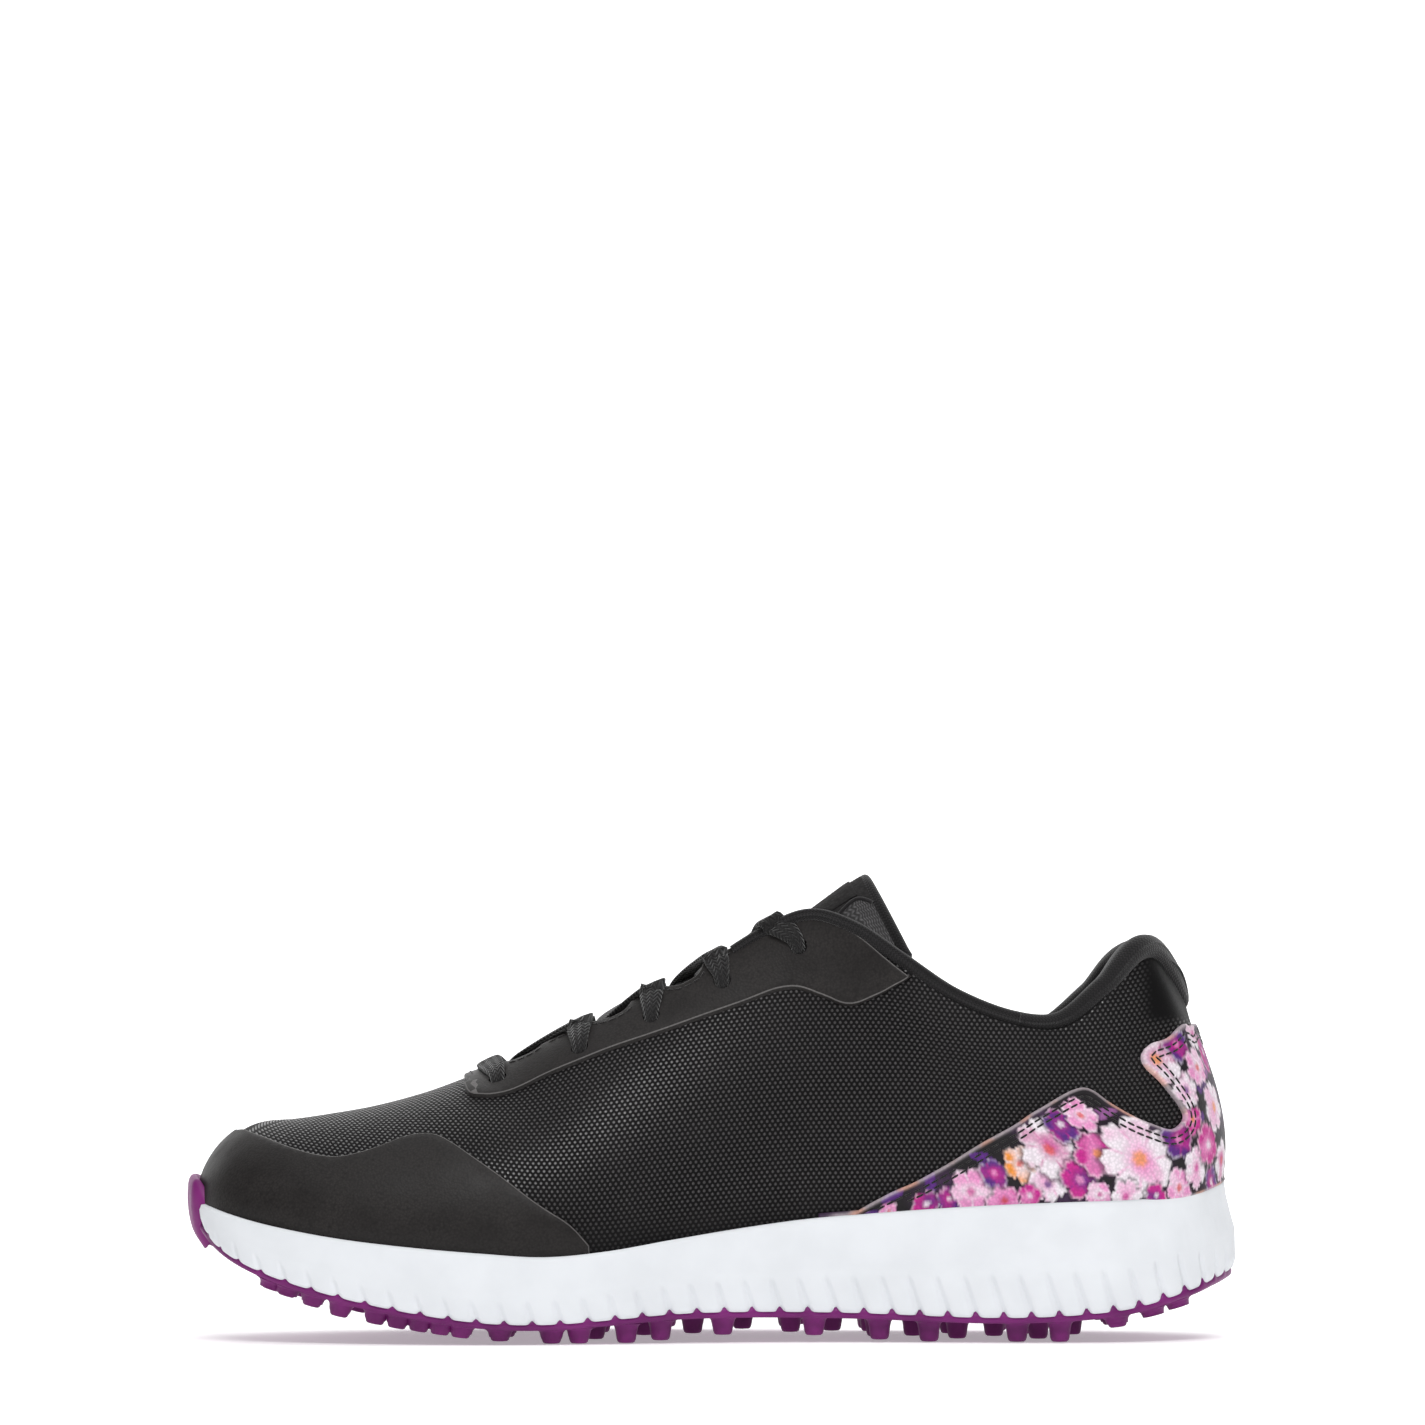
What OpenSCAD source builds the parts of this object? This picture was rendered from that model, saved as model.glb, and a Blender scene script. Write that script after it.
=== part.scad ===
// Spikeless golf shoe for the right foot, built as the layers a shoemaker would cut.
// Toe points along -X, the inner (medial) side faces -Y, the ground is z = 0.

/* [Overall size] */
// Length from toe bumper to heel
shoe_length = 275; // [245:1:305]
// Width over the widest part of the sole
sole_width = 98; // [90:1:106]
// Height of the upper above the sole line, as a factor
upper_rise = 1; // [0.92:0.01:1.08]

/* [Upper] */
// Main upper material thickness
shell_t = 1.2; // [0.9:0.1:1.6]
// Overlay thickness on toe, lace rows and heel
overlay_t = 0.9; // [0.6:0.1:1.2]
// Stiffener thickness in toe and heel
stiffener_t = 1; // [0.6:0.1:1.4]
// Lining thickness
lining_t = 1; // [0.7:0.1:1.4]
// Extra padding behind the collar lining
collar_pad = 3.4; // [2:0.1:4.5]
// Eyelet hole radius
eyelet_r = 2.3; // [1.8:0.1:2.6]

/* [Sole] */
// Width of the midsole rim around the upper
rim_w = 3.8; // [3:0.1:5]
// Depth of the seat for the upper in the midsole
seat_depth = 2.9; // [2.4:0.1:3.4]
// Outsole plate thickness
plate_t = 1.4; // [1:0.1:2]
// Lug radius at the plate
lug_base_r = 3.1; // [2.4:0.1:3.6]
// Lug radius at the tip
lug_tip_r = 2.2; // [1.6:0.1:2.6]
// Removable footbed thickness
footbed_t = 4; // [3:0.5:6]

/* [Tongue and lace] */
// Tongue padding thickness on the centre line
tongue_pad = 2.8; // [2:0.1:3.6]
// Radius of the piping round the tongue
piping_r = 1.5; // [1.2:0.1:1.8]
// Lace width
lace_w = 8; // [6:0.5:9]
// Lace thickness
lace_t = 1.2; // [0.9:0.1:1.5]

/* [Hidden] */

// Medial and lateral sides of the ring of sections
MED = -1;
LAT = 1;
kx = shoe_length / 275;
ky = sole_width / 98;
fit = 0.1;
seam_gap = 0.25;

// Sections from toe to heel: [sole x, medial y, lateral y, sole underside z, upper seam z,
// top x, top y, half width of the opening, top z, steepness at the top]
SECTIONS = [
    [-137.5, -7, -7, 33, 36.5, -114, -6, 0, 56.6, 0],
    [-134.5, -20, 6, 29.9, 35.2, -112.5, -6, 0, 56.7, 0],
    [-127, -32, 19, 23.7, 33, -108, -5.8, 0, 57, 0],
    [-113, -41, 30, 17.3, 29.7, -100, -5.4, 0, 58.2, 0],
    [-95, -46, 39, 12, 26.5, -88, -4.8, 0, 60.4, 0],
    [-76, -48.5, 45, 8, 24.3, -75, -4, 0, 64, 0],
    [-58, -49, 48, 5.5, 22.8, -62.5, -3.2, 0, 68.6, 0],
    [-42, -47.5, 49, 5, 21.9, -54, -2.6, 8, 71, 0.1],
    [-26, -44.5, 48.5, 6, 23.3, -38, -1.8, 12, 78.5, 0.12],
    [-9, -40, 46.5, 7.4, 26.2, -20, -1, 14, 87, 0.14],
    [8, -36.5, 44, 7.8, 29, -2, -0.5, 16.5, 96.5, 0.18],
    [24, -34.5, 41.5, 7.7, 31.2, 13, 0, 19, 105.5, 0.26],
    [38, -34.5, 39.5, 7.4, 32.4, 25, 0, 22, 110, 0.4],
    [52, -35.5, 38.5, 6.9, 33.5, 36, 0, 26, 106, 0.6],
    [66, -36.5, 37.5, 6.4, 34.4, 48, 0, 30, 96.8, 0.8],
    [80, -37.5, 37, 6.4, 35.1, 61.5, 0, 31.5, 87.2, 0.9],
    [94, -37.5, 36.5, 7.1, 35.6, 77, 0, 31.5, 81, 0.9],
    [107, -35.5, 35, 8.6, 36, 91, 0, 28.5, 80.5, 0.85],
    [120, -30, 30, 12, 37, 104, 0, 23.5, 90.5, 0.6],
    [130, -20, 20, 16, 39.3, 114.5, 0, 14, 99.5, 0.45],
    [137.5, 0, 0, 20, 41.8, 125.5, 0, 0, 86, 0.9]];
LAST = len(SECTIONS) - 1;
// Sections up to this one are closed over the foot
CLOSED = 6;
// Bulge of the wall just above the sole seam
BULGE = [[0, 0.4], [1, 0.6], [2, 1.5], [3, 2.5], [4, 3], [LAST, 3]];
// Columns of the upper, in section units
COLS = [for (t = [0:0.5:9.5]) t, 9.6, for (t = [10:0.5:LAST]) t];
// Rows of the upper: -0.1 is the edge set into the midsole, 1 is the top line
ROWS = [-0.1, 0, 0.1, 0.2, 0.3, 0.4, 0.5, 0.6, 0.7, 0.8, 0.9, 1];
SKIRT = 26;

UP = [0, 0, 1];
function unit(v) = v / norm(v);
function spline(a, b, c, d, f) =
    0.5 * (2 * b + (c - a) * f + (2 * a - 5 * b + 4 * c - d) * f * f + (3 * b - a - 3 * c + d) * f * f * f);
function side_row(s, k) = let (q = SECTIONS[k], rise = (q[8] - q[4]) * upper_rise)
    [q[0] * kx, (s == MED ? q[1] : q[2]) * ky, q[3], q[4], q[5] * kx, (q[6] + s * q[7]) * ky, q[4] + rise, q[9]];
function row(s, k) = k < 0 ? side_row(-s, 1) : k > LAST ? side_row(-s, LAST - 1) : side_row(s, k);
function rail(t, s) = let (k = min(floor(t), LAST - 1))
    spline(row(s, k - 1), row(s, k), row(s, k + 1), row(s, k + 2), t - k);

// Outward direction of the sole outline, level with the ground
function outward(t, s) = t < 0.01 ? [-1, 0, 0] : t > LAST - 0.01 ? [1, 0, 0] :
    let (a = rail(max(t - 0.02, 0), s), b = rail(min(t + 0.02, LAST), s)) unit([-s * (b[1] - a[1]), s * (b[0] - a[0]), 0]);
function edge(t, s, inset) = let (r = rail(t, s), n = outward(t, s)) [r[0] - n[0] * inset, r[1] - n[1] * inset];
function outline(inset) = [
    for (t = COLS) edge(t, MED, inset),
    for (i = [len(COLS) - 2:-1:1]) edge(COLS[i], LAT, inset)];

// Surface of the upper: v runs up from the sole seam to the top line, d is the depth below the outer face
function bez(a, b, c, e, v) = a * pow(1 - v, 3) + b * 3 * v * pow(1 - v, 2) + c * 3 * v * v * (1 - v) + e * pow(v, 3);
function last(t, s, v0, d) = let (
        r = rail(t, s), n = outward(t, s), v = max(v0, 0), w = r[7],
        f = concat(edge(t, s, rim_w + 0.2), r[3]),
        top = [r[4], r[5], r[6]],
        h = top[2] - f[2],
        away = [f[0] - top[0], f[1] - top[1], 0],
        c1 = f + n * lookup(t, BULGE) + UP * h * 0.42,
        c2 = (top + away * 0.6) * (1 - w) + (top + n * 3 - UP * h * 0.34) * w,
        lean = unit(UP * (1 - w) + n * w),
        normal = unit(bez(n, n, lean, lean, v)))
    bez(f, c1, c2, top, v) - normal * d + UP * SKIRT * min(v0, 0);
function face_normal(t, s, v) = unit(last(t, s, v, -1) - last(t, s, v, 1));

// Columns of a layer as [t, side], all running the same way round: lateral side, toe, medial side, heel
function over_toe(a, b) = [
    for (i = [len(COLS) - 1:-1:0]) if (COLS[i] >= a && COLS[i] <= b) [COLS[i], LAT],
    for (t = COLS) if (t > 0 && t >= a && t <= b) [t, MED]];
function round_heel(a) = [
    for (t = COLS) if (t >= a) [t, MED],
    for (i = [len(COLS) - 2:-1:0]) if (COLS[i] >= a) [COLS[i], LAT]];
function one_side(a, b, s) = [for (i = [0:len(COLS) - 1])
    let (t = COLS[s == MED ? i : len(COLS) - 1 - i]) if (t >= a && t <= b) [t, s]];
function whole_ring() = [for (t = COLS) [t, MED], for (i = [len(COLS) - 2:-1:1]) [COLS[i], LAT]];

// A closed layer between two depths. lo and hi bound the rows, d0 and d1 are the outer and inner depth.
// share(i) gives the column that owns the top point of column i where both sides meet on the ridge.
module layer(cols, lo, hi, d0, d1, ring = false, share = function (i) i) {
    n = len(cols);
    m = len(ROWS);
    pts = [for (depth = [d0, d1]) for (c = cols) for (v = ROWS)
        let (q = min(max(v, lo(c[0])), hi(c[0]))) last(c[0], c[1], q, depth(c[0], q))];
    at_top = function (i, j) max(ROWS[j], lo(cols[i % n][0])) >= 1;
    id = function (k, i, j) (k * n + (at_top(i, j) ? share(i % n) : i % n)) * m + j;
    mirrored = function (i) cols[i % n][0] <= CLOSED && hi(cols[i % n][0]) == 1;
    walls = [for (i = [0:n - (ring ? 1 : 2)]) for (j = [0:m - 2]) for (k = [0, 1])
        k == 0 ? [id(0, i, j), id(0, i, j + 1), id(0, i + 1, j + 1), id(0, i + 1, j)]
               : [id(1, i, j), id(1, i + 1, j), id(1, i + 1, j + 1), id(1, i, j + 1)]];
    foot = [for (i = [0:n - (ring ? 1 : 2)]) [id(0, i, 0), id(0, i + 1, 0), id(1, i + 1, 0), id(1, i, 0)]];
    head = [for (i = [0:n - (ring ? 1 : 2)]) if (!(mirrored(i) && mirrored(i + 1)))
        [id(0, i, m - 1), id(1, i, m - 1), id(1, i + 1, m - 1), id(0, i + 1, m - 1)]];
    ends = ring ? [] : [for (e = [0, n - 1]) for (j = [0:m - 2])
        e == 0 ? [id(0, e, j), id(1, e, j), id(1, e, j + 1), id(0, e, j + 1)]
               : [id(0, e, j), id(0, e, j + 1), id(1, e, j + 1), id(1, e, j)]];
    quads = concat(walls, foot, head, ends);
    tris = [for (q = quads) for (h = [[q[0], q[1], q[2]], [q[0], q[2], q[3]]])
        if (norm(pts[h[0]] - pts[h[1]]) > 0.001 && norm(pts[h[1]] - pts[h[2]]) > 0.001 && norm(pts[h[2]] - pts[h[0]]) > 0.001)
            [h[0], h[2], h[1]]];
    polyhedron(points = pts, faces = tris, convexity = 8);
}
function mirror_toe(cols) = function (i)
    cols[i][1] == LAT && cols[i][0] <= CLOSED && cols[i][0] > 0 ? len(cols) - 1 - i : i;
function mirror_ring(cols) = function (i)
    cols[i][1] == LAT && cols[i][0] <= CLOSED ? len(cols) - i : i;
function flat(value) = function (t, v = 0) value;
function bound(table) = function (t) lookup(t, table);

// Depths of the stacked layers below the outer face
stiffener_d = shell_t + fit;
lining_d = stiffener_d + stiffener_t + fit;
// Padding behind the collar pushes the lining inwards, most of it below the top line
PAD_V = [[0.45, 0], [0.6, 0.8], [0.7, 1], [0.85, 1], [1, 0.5]];
PAD_T = [[13.5, 0], [15, 1]];
function pad(t, v) = collar_pad * lookup(v, PAD_V) * lookup(t, PAD_T);
lining_out = function (t, v) lining_d + pad(t, v);
lining_in = function (t, v) lining_out(t, v) + lining_t;

// Eyelets, in section units along the throat
EYELETS = [6.5, 8, 9.05, 10.1, 11.5];
EYELET_V = 0.8;
module eyelet_bores() {
    for (s = [MED, LAT])
        for (t = EYELETS) {
            p = last(t, s, EYELET_V, 2);
            n = face_normal(t, s, EYELET_V);
            translate(p)
                rotate([0, acos(n[2]), atan2(n[1], n[0])])
                    cylinder(h = 12, r = eyelet_r, center = true, $fn = 8);
        }
}

// Side profiles of the sole as functions of the section
function under(t) = rail(t, MED)[2];
function seam_line(drop, inset) = [for (t = COLS) [edge(t, MED, inset)[0], rail(t, MED)[3] - drop]];
function under_line(drop) = [for (t = COLS) [rail(t, MED)[0], under(t) - drop]];
function back(list) = [for (i = [len(list) - 1:-1:0]) list[i]];
// Face between toe bumper and midsole, and how far the bumper stands behind it
BUMPER_FACE = [[-135, 42.5], [-135, 36.3], [-133.2, 33], [-130.4, 28.2]];
module side_prism(profile) {
    translate([0, sole_width, 0])
        rotate([90, 0, 0])
            linear_extrude(2 * sole_width)
                polygon(profile);
}
module sole_prism(inset) {
    linear_extrude(70)
        polygon(outline(inset));
}

module outsole() {
    color([0.43, 0.12, 0.4]) {
        intersection() {
            sole_prism(2.5);
            side_prism(concat(under_line(fit), back(under_line(fit + plate_t))));
        }
        intersection() {
            sole_prism(0);
            side_prism(concat([for (p = BUMPER_FACE) [p[0] * kx, p[1]]],
                [[-126 * kx, 23.2], [-122 * kx, 20.5], [-126 * kx, 21.3], [-141 * kx, 31], [-141 * kx, 42.5]]));
        }
        lugs();
    }
}
// Height of the lug tips along the sole and the sections of the edge lugs
TIP_Z = [[-115, 14.5], [-95, 7], [-80, 4], [-63, 1.5], [-46, 0], [-19, 0], [0, 1.8], [28, 1.5], [49, 0], [93, 0], [104, 4], [124, 10]];
EDGE_LUGS = [2.9, 3.2, 3.6, 4, 4.5, 4.8, 5.1, 5.4, 5.7, 6.3, 7.15, 7.6, 8.35, 8.85, 9.75, 11.15, 12.3, 13.2, 14.8, 15.6, 16.8, 17.6, 18.3];
INNER_LUGS = [for (t = [3.3:0.75:18.2]) t];
module lug(x, y, z, slope) {
    tilt = abs(slope) < 0.1 ? 0 : atan(slope);
    drop = z - 0.6 - lookup(x / kx, TIP_Z);
    translate([x, y, z - 0.6])
        rotate([0, 180 - tilt, 0])
            cylinder(h = drop / cos(tilt), r1 = lug_base_r, r2 = lug_tip_r, $fn = 16);
}
module lugs() {
    for (s = [MED, LAT])
        for (t = EDGE_LUGS) {
            e = edge(t, s, 6.5);
            lug(e[0], e[1], under_at(e[0]), slope_at(e[0]));
        }
    for (i = [0:len(INNER_LUGS) - 1]) {
        t = INNER_LUGS[i];
        a = edge(t, MED, 6.5);
        b = edge(t, LAT, 6.5);
        for (f = i % 2 == 0 ? [0.27, 0.73] : [0.5]) {
            p = a * (1 - f) + b * f;
            lug(p[0], p[1], under_at(p[0]), slope_at(p[0]));
        }
    }
}
function under_at(x) = lookup(x, under_line(0));
function slope_at(x) = (under_at(x + 2) - under_at(x - 2)) / 4;

module midsole() {
    top = seam_line(0.2, rim_w + 0.2);
    color([0.93, 0.94, 0.95])
        difference() {
            intersection() {
                sole_prism(0);
                side_prism(concat([[-134.7 * kx, 36.3]], [for (p = top) if (p[0] > -133.2 * kx) p], [[141 * kx, top[len(top) - 1][1]], [141 * kx, 20]],
                    back([for (p = under_line(0)) if (p[0] > -124 * kx) p]),
                    [[-126.6 * kx, 24.1], [-130 * kx, 28.7], [-132.9 * kx, 33.3]]));
            }
            intersection() {
                sole_prism(rim_w);
                side_prism(concat([[-141 * kx, 90], [-141 * kx, 33.6]], seam_line(seat_depth, rim_w + 0.2), [[141 * kx, 39], [141 * kx, 90]]));
            }
        }
}
// A flat layer inside the shoe, between two heights over the seam line
module inner_sole(inset, z0, z1) {
    low = seam_line(seat_depth - z0, rim_w + 0.2);
    high = seam_line(seat_depth - z1, rim_w + 0.2);
    intersection() {
        sole_prism(inset);
        side_prism(concat(low, back(high)));
    }
}
inside = rim_w + 0.2 + lining_d + lining_t;
board_t = 1.5;
module insole_board() {
    color([0.75, 0.68, 0.55]) inner_sole(inside + 0.4, 0.2, 0.2 + board_t);
}
module footbed() {
    color([0.25, 0.2, 0.3]) inner_sole(inside + 0.8, 0.3 + board_t, 0.3 + board_t + footbed_t);
}

module upper_shell() {
    cols = whole_ring();
    color([0.14, 0.13, 0.13])
        difference() {
            layer(cols, flat(-0.1), flat(1), flat(0), flat(shell_t), ring = true, share = mirror_ring(cols));
            eyelet_bores();
        }
}
TOE_LINE = [[0, 0.66], [1, 0.65], [2, 0.61], [3, 0.51], [3.5, 0.46], [4, 0.46], [4.5, 0.51], [5, 0.545], [5.5, 0.465], [6, 0.36], [6.5, 0.265], [7, 0.17], [7.5, 0.06]];
module toe_overlay() {
    color([0.2, 0.18, 0.18])
        layer(over_toe(0, 7.5), flat(0), bound(TOE_LINE), flat(-seam_gap - overlay_t), flat(-seam_gap));
}
EYESTAY_LINE = [[5.5, 1], [6, 0.82], [6.5, 0.69], [7, 0.725], [7.5, 0.745], [8, 0.735], [9, 0.71], [10, 0.68], [11, 0.655], [11.5, 0.62], [12, 0.585], [12.5, 0.6], [13, 0.67], [13.5, 0.76], [14, 0.9]];
// The point of the eyestay stands off the vamp a little, as its folded front does
FRONT_LIFT = [[6, 0.3], [6.5, 0.1], [7, 0]];
module eyestay() {
    cols = over_toe(5.5, 14);
    inner = function (t, v) -seam_gap - lookup(t, FRONT_LIFT);
    outer = function (t, v) inner(t, v) - overlay_t;
    color([0.17, 0.16, 0.17])
        difference() {
            layer(cols, bound(EYESTAY_LINE), flat(1), outer, inner, share = mirror_toe(cols));
            eyelet_bores();
        }
}
HEEL_LINE = [[11.5, 0.01], [12, 0.02], [13, 0.075], [13.5, 0.11], [14, 0.165], [15, 0.31], [16, 0.49], [16.5, 0.58], [17, 0.575], [17.5, 0.375], [18, 0.26], [18.5, 0.57], [19, 0.63], [19.5, 0.73], [20, 0.855]];
module heel_overlay() {
    color([0.75, 0.55, 0.68])
        layer(round_heel(11.5), flat(0), bound(HEEL_LINE), flat(-seam_gap - overlay_t), flat(-seam_gap));
}
module toe_puff() {
    cols = over_toe(0, 4);
    color([0.8, 0.76, 0.62])
        layer(cols, flat(0), flat(1), flat(stiffener_d), flat(stiffener_d + stiffener_t), share = mirror_toe(cols));
}
module heel_counter() {
    color([0.8, 0.76, 0.62])
        layer(round_heel(15.5), flat(0), flat(0.4), flat(stiffener_d), flat(stiffener_d + stiffener_t));
}
module lace_stay(s) {
    color([0.55, 0.5, 0.45])
        difference() {
            layer(one_side(7, 13, s), flat(0.7), flat(0.9), flat(stiffener_d), flat(stiffener_d + stiffener_t));
            eyelet_bores();
        }
}
module lace_stay_medial() {
    lace_stay(MED);
}
module lace_stay_lateral() {
    lace_stay(LAT);
}
module vamp_lining() {
    cols = over_toe(0, 9.5);
    color([0.35, 0.33, 0.36])
        difference() {
            layer(cols, flat(-0.1), flat(1), lining_out, lining_in, share = mirror_toe(cols));
            eyelet_bores();
        }
}
module quarter_lining() {
    color([0.35, 0.33, 0.36])
        difference() {
            layer(round_heel(9.6), flat(-0.1), flat(1), lining_out, lining_in);
            eyelet_bores();
        }
}
module collar_foam() {
    color([0.85, 0.83, 0.5])
        layer(round_heel(14), flat(0.5), flat(0.9), flat(stiffener_d), function (t, v) lining_out(t, v) - fit);
}

// A closed tube or strip through a list of rings with the same even number of points
module loft(rings) {
    n = len(rings);
    m = len(rings[0]);
    pts = [for (r = rings) each r];
    walls = [for (i = [0:n - 2]) for (j = [0:m - 1]) for (h = [0, 1])
        let (a = i * m + j, b = i * m + (j + 1) % m) h == 0 ? [a, b, b + m] : [a, b + m, a + m]];
    // Each end is closed by a strip between the first half of the ring and the second half
    z = (n - 1) * m;
    caps = [for (j = [0:m / 2 - 2]) each [
        [m - 2 - j, j + 1, j], [m - 1 - j, m - 2 - j, j],
        [z + j, z + j + 1, z + m - 2 - j], [z + j, z + m - 2 - j, z + m - 1 - j]]];
    polyhedron(points = pts, faces = concat(walls, caps), convexity = 8);
}
function oval(p, e1, e2, a, b, m = 10) = [for (k = [0:m - 1]) p + e1 * a * cos(360 * k / m) + e2 * b * sin(360 * k / m)];

// Roll over the top line: [t, half thickness, half height, lean of the section, lift above the edge, outward shift]
ROLL = [[10.5, 1.2, 1.2, 0, 1.9, -1.7], [12, 1.3, 1.4, 0, 2.2, -1.4], [13, 1.4, 1.5, 0, 2.6, -0.8],
    [14, 1.5, 1.7, 0, 3.1, 0], [16.2, 2, 2, 0, 2.7, 0],
    [17, 2.3, 2.5, 5, 2.9, 0], [18, 2.9, 3.2, 12, 3.6, -0.3], [19, 3.8, 4.2, 22, 4.6, -0.8], [19.5, 4.4, 7, 32, 7.4, -3],
    [LAST, 4.8, 11, 38, 10.1, -6.2]];
function roll_value(t, k) = lookup(t, [for (r = ROLL) [r[0], r[k]]]);
function top_line(t, s) = last(t, s, 1, lining_in(t, 1) / 2);
// Direction along the top line, and the frame square to it: e1 outwards, e2 away from the upper
function top_dir(t, s) = t > LAST - 0.01 ? [0, -s, 0] : unit(top_line(t + 0.05, s) - top_line(t - 0.05, s));
function roll_ring(t, s) = let (
        dir = top_dir(t, s), n0 = outward(t, s), n = unit(n0 - dir * (n0 * dir)), up = cross(dir, n) * s,
        g = roll_value(t, 3), e1 = n * cos(g) + up * sin(g), e2 = up * cos(g) - n * sin(g))
    oval(top_line(t, s) + up * roll_value(t, 4) + n * roll_value(t, 5), e1, e2, roll_value(t, 1), roll_value(t, 2));
module heel_roll() {
    ts = [16.1, 16.5, 17, 17.5, 18, 18.5, 18.8, 19.1, 19.4, 19.6, 19.8, LAST];
    color([0.12, 0.12, 0.13])
        loft(concat([for (t = ts) roll_ring(t, MED)], [for (i = [len(ts) - 2:-1:0]) roll_ring(ts[i], LAT)]));
}
module topline_binding(s) {
    rings = [for (t = [10.5:0.5:16]) roll_ring(min(t, 15.95), s)];
    color([0.1, 0.1, 0.11])
        loft(s == MED ? rings : back(rings));
}
module topline_binding_medial() {
    topline_binding(MED);
}
module topline_binding_lateral() {
    topline_binding(LAT);
}

// Tongue stations on its centre line: [x, z, half width, drop of the side edge]
TONGUE = [[-66, 60.6, 14, 5], [-57, 64.2, 16, 6.5], [-52, 66.9, 18, 8], [-37.2, 74.9, 21, 10.5], [-19.2, 83.6, 22, 11.5],
    [-1.2, 93, 22, 12.5], [13.8, 102.2, 21, 14], [24, 110.4, 20, 17], [34.8, 118.4, 19, 21], [39.8, 121.4, 17.5, 24]];
TONGUE_LAST = len(TONGUE) - 1;
TONGUE_UP = unit([-0.43, 0, 0.9]);
function tongue_at(k) = let (i = min(max(floor(k), 0), TONGUE_LAST - 1), f = k - i) TONGUE[i] * (1 - f) + TONGUE[i + 1] * f;
function tongue_point(k, s, d) = let (q = tongue_at(k))
    [q[0] * kx, s * q[2] * ky, q[1] * upper_rise] - TONGUE_UP * (d + q[3] * s * s);
function foam_d(s) = 1.3 + tongue_pad * (1 - pow(s, 4));
TONGUE_S = [for (s = [-0.9:0.18:0.91]) s];
// A layer of the tongue between two depths
module tongue_layer(k1, d0, d1) {
    ks = [for (k = [0:0.5:TONGUE_LAST - 1]) k, k1];
    n = len(TONGUE_S);
    loft([for (k = ks) concat([for (s = TONGUE_S) tongue_point(k, s, d0(s))], [for (i = [n - 1:-1:0]) tongue_point(k, TONGUE_S[i], d1(TONGUE_S[i]))])]);
}
module tongue_face() {
    color([0.2, 0.19, 0.2]) tongue_layer(TONGUE_LAST - 0.35, function (s) 0, function (s) 0.9);
}
module tongue_foam() {
    color([0.85, 0.83, 0.5]) tongue_layer(TONGUE_LAST - 0.35, function (s) 0.9 + seam_gap, function (s) foam_d(s));
}
module tongue_lining() {
    color([0.3, 0.28, 0.3]) tongue_layer(TONGUE_LAST - 0.35, function (s) foam_d(s) + seam_gap, function (s) foam_d(s) + seam_gap + 0.8);
}
module tongue_piping() {
    k0 = 3;
    path = [
        for (k = [k0:0.5:TONGUE_LAST - 0.01]) tongue_point(k, -1, piping_r),
        for (s = [-1:0.2:1.01]) tongue_point(TONGUE_LAST, s, piping_r),
        for (k = [TONGUE_LAST - 0.5:-0.5:k0]) tongue_point(k, 1, piping_r)];
    color([0.1, 0.1, 0.11]) tube(path, piping_r, 8);
}
module tongue_tab() {
    ks = [for (k = [6.6:0.4:8.3]) k];
    ss = [-0.45, -0.3, -0.15, 0, 0.15, 0.3, 0.45];
    color([0.16, 0.15, 0.16])
        loft([for (k = ks) concat([for (s = ss) tongue_point(k, s, -1)], [for (i = [len(ss) - 1:-1:0]) tongue_point(k, ss[i], -0.3)])]);
}
module tube(path, r, m) {
    n = len(path);
    loft([for (i = [0:n - 1])
        let (a = path[max(i - 1, 0)], b = path[min(i + 1, n - 1)], dir = unit(b - a),
            e1 = unit(cross(dir, [0.86, 0, 0.5])), e2 = cross(e1, dir))
        oval(path[i], e1, e2, r, r, m)]);
}

// Lace route. Each entry is [point, surface normal, width, thickness].
function on_upper(t, s, v, d, w, h) = [last(t, s, v, d), face_normal(t, s, v), w, h];
function over_tongue(t, lift) = let (r = side_row_at(t), z = r[2] + lift) [[r[0], r[1], z], TONGUE_UP, lace_w, lace_t];
function side_row_at(t) = let (a = rail(t, MED), b = rail(t, LAT)) [(a[4] + b[4]) / 2, (a[5] + b[5]) / 2, (a[6] + b[6]) / 2];
in_w = 3.2;
in_t = 1.8;
top_d = -seam_gap - overlay_t - lace_t / 2 - 0.2;
under_d = lining_d + lining_t + 0.75;
under_w = 6;
under_t = 1;
// From over the edge, down through eyelet i on side s, and back under the edge
function through(i, s) = let (t = EYELETS[i]) [
    on_upper(t, s, 1, top_d - 0.4, lace_w, lace_t),
    on_upper(t, s, 0.91, top_d, lace_w, lace_t),
    on_upper(t, s, 0.84, top_d + 0.1, lace_w * 0.7, lace_t),
    on_upper(t, s, EYELET_V, 0.3, in_w, in_t),
    on_upper(t, s, EYELET_V, under_d - 1, in_w, in_t)];
function half_route(s, i, lift) = i > len(EYELETS) - 1 ? [] : concat(
    i == 0 ? [] : [over_tongue((EYELETS[i - 1] + EYELETS[i]) / 2 + 0.1, lift)],
    through(i, s),
    i == len(EYELETS) - 1 ? tail(s) : [on_upper(EYELETS[i] + 0.3, s, 0.9, under_d, under_w, under_t), on_upper(EYELETS[i] + 0.45, s, 0.99, under_d + 0.1, under_w, under_t)],
    half_route(-s, i + 1, lift));
function tail(s) = [
    on_upper(11.6, s, 0.74, under_d + 0.3, under_w, under_t),
    on_upper(11.7, s, 0.62, under_d + 0.3, under_w, under_t),
    on_upper(11.8, s, 0.5, under_d + 0.3, under_w, under_t),
    on_upper(11.9, s, 0.4, under_d + 0.3, in_w, in_t)];
function strip(q, w_dir) = [
    q[0] + w_dir * q[2] / 2 - q[1] * q[3] / 2, q[0] + w_dir * q[2] / 2 + q[1] * q[3] / 2,
    q[0] - w_dir * q[2] / 2 + q[1] * q[3] / 2, q[0] - w_dir * q[2] / 2 - q[1] * q[3] / 2];
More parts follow.
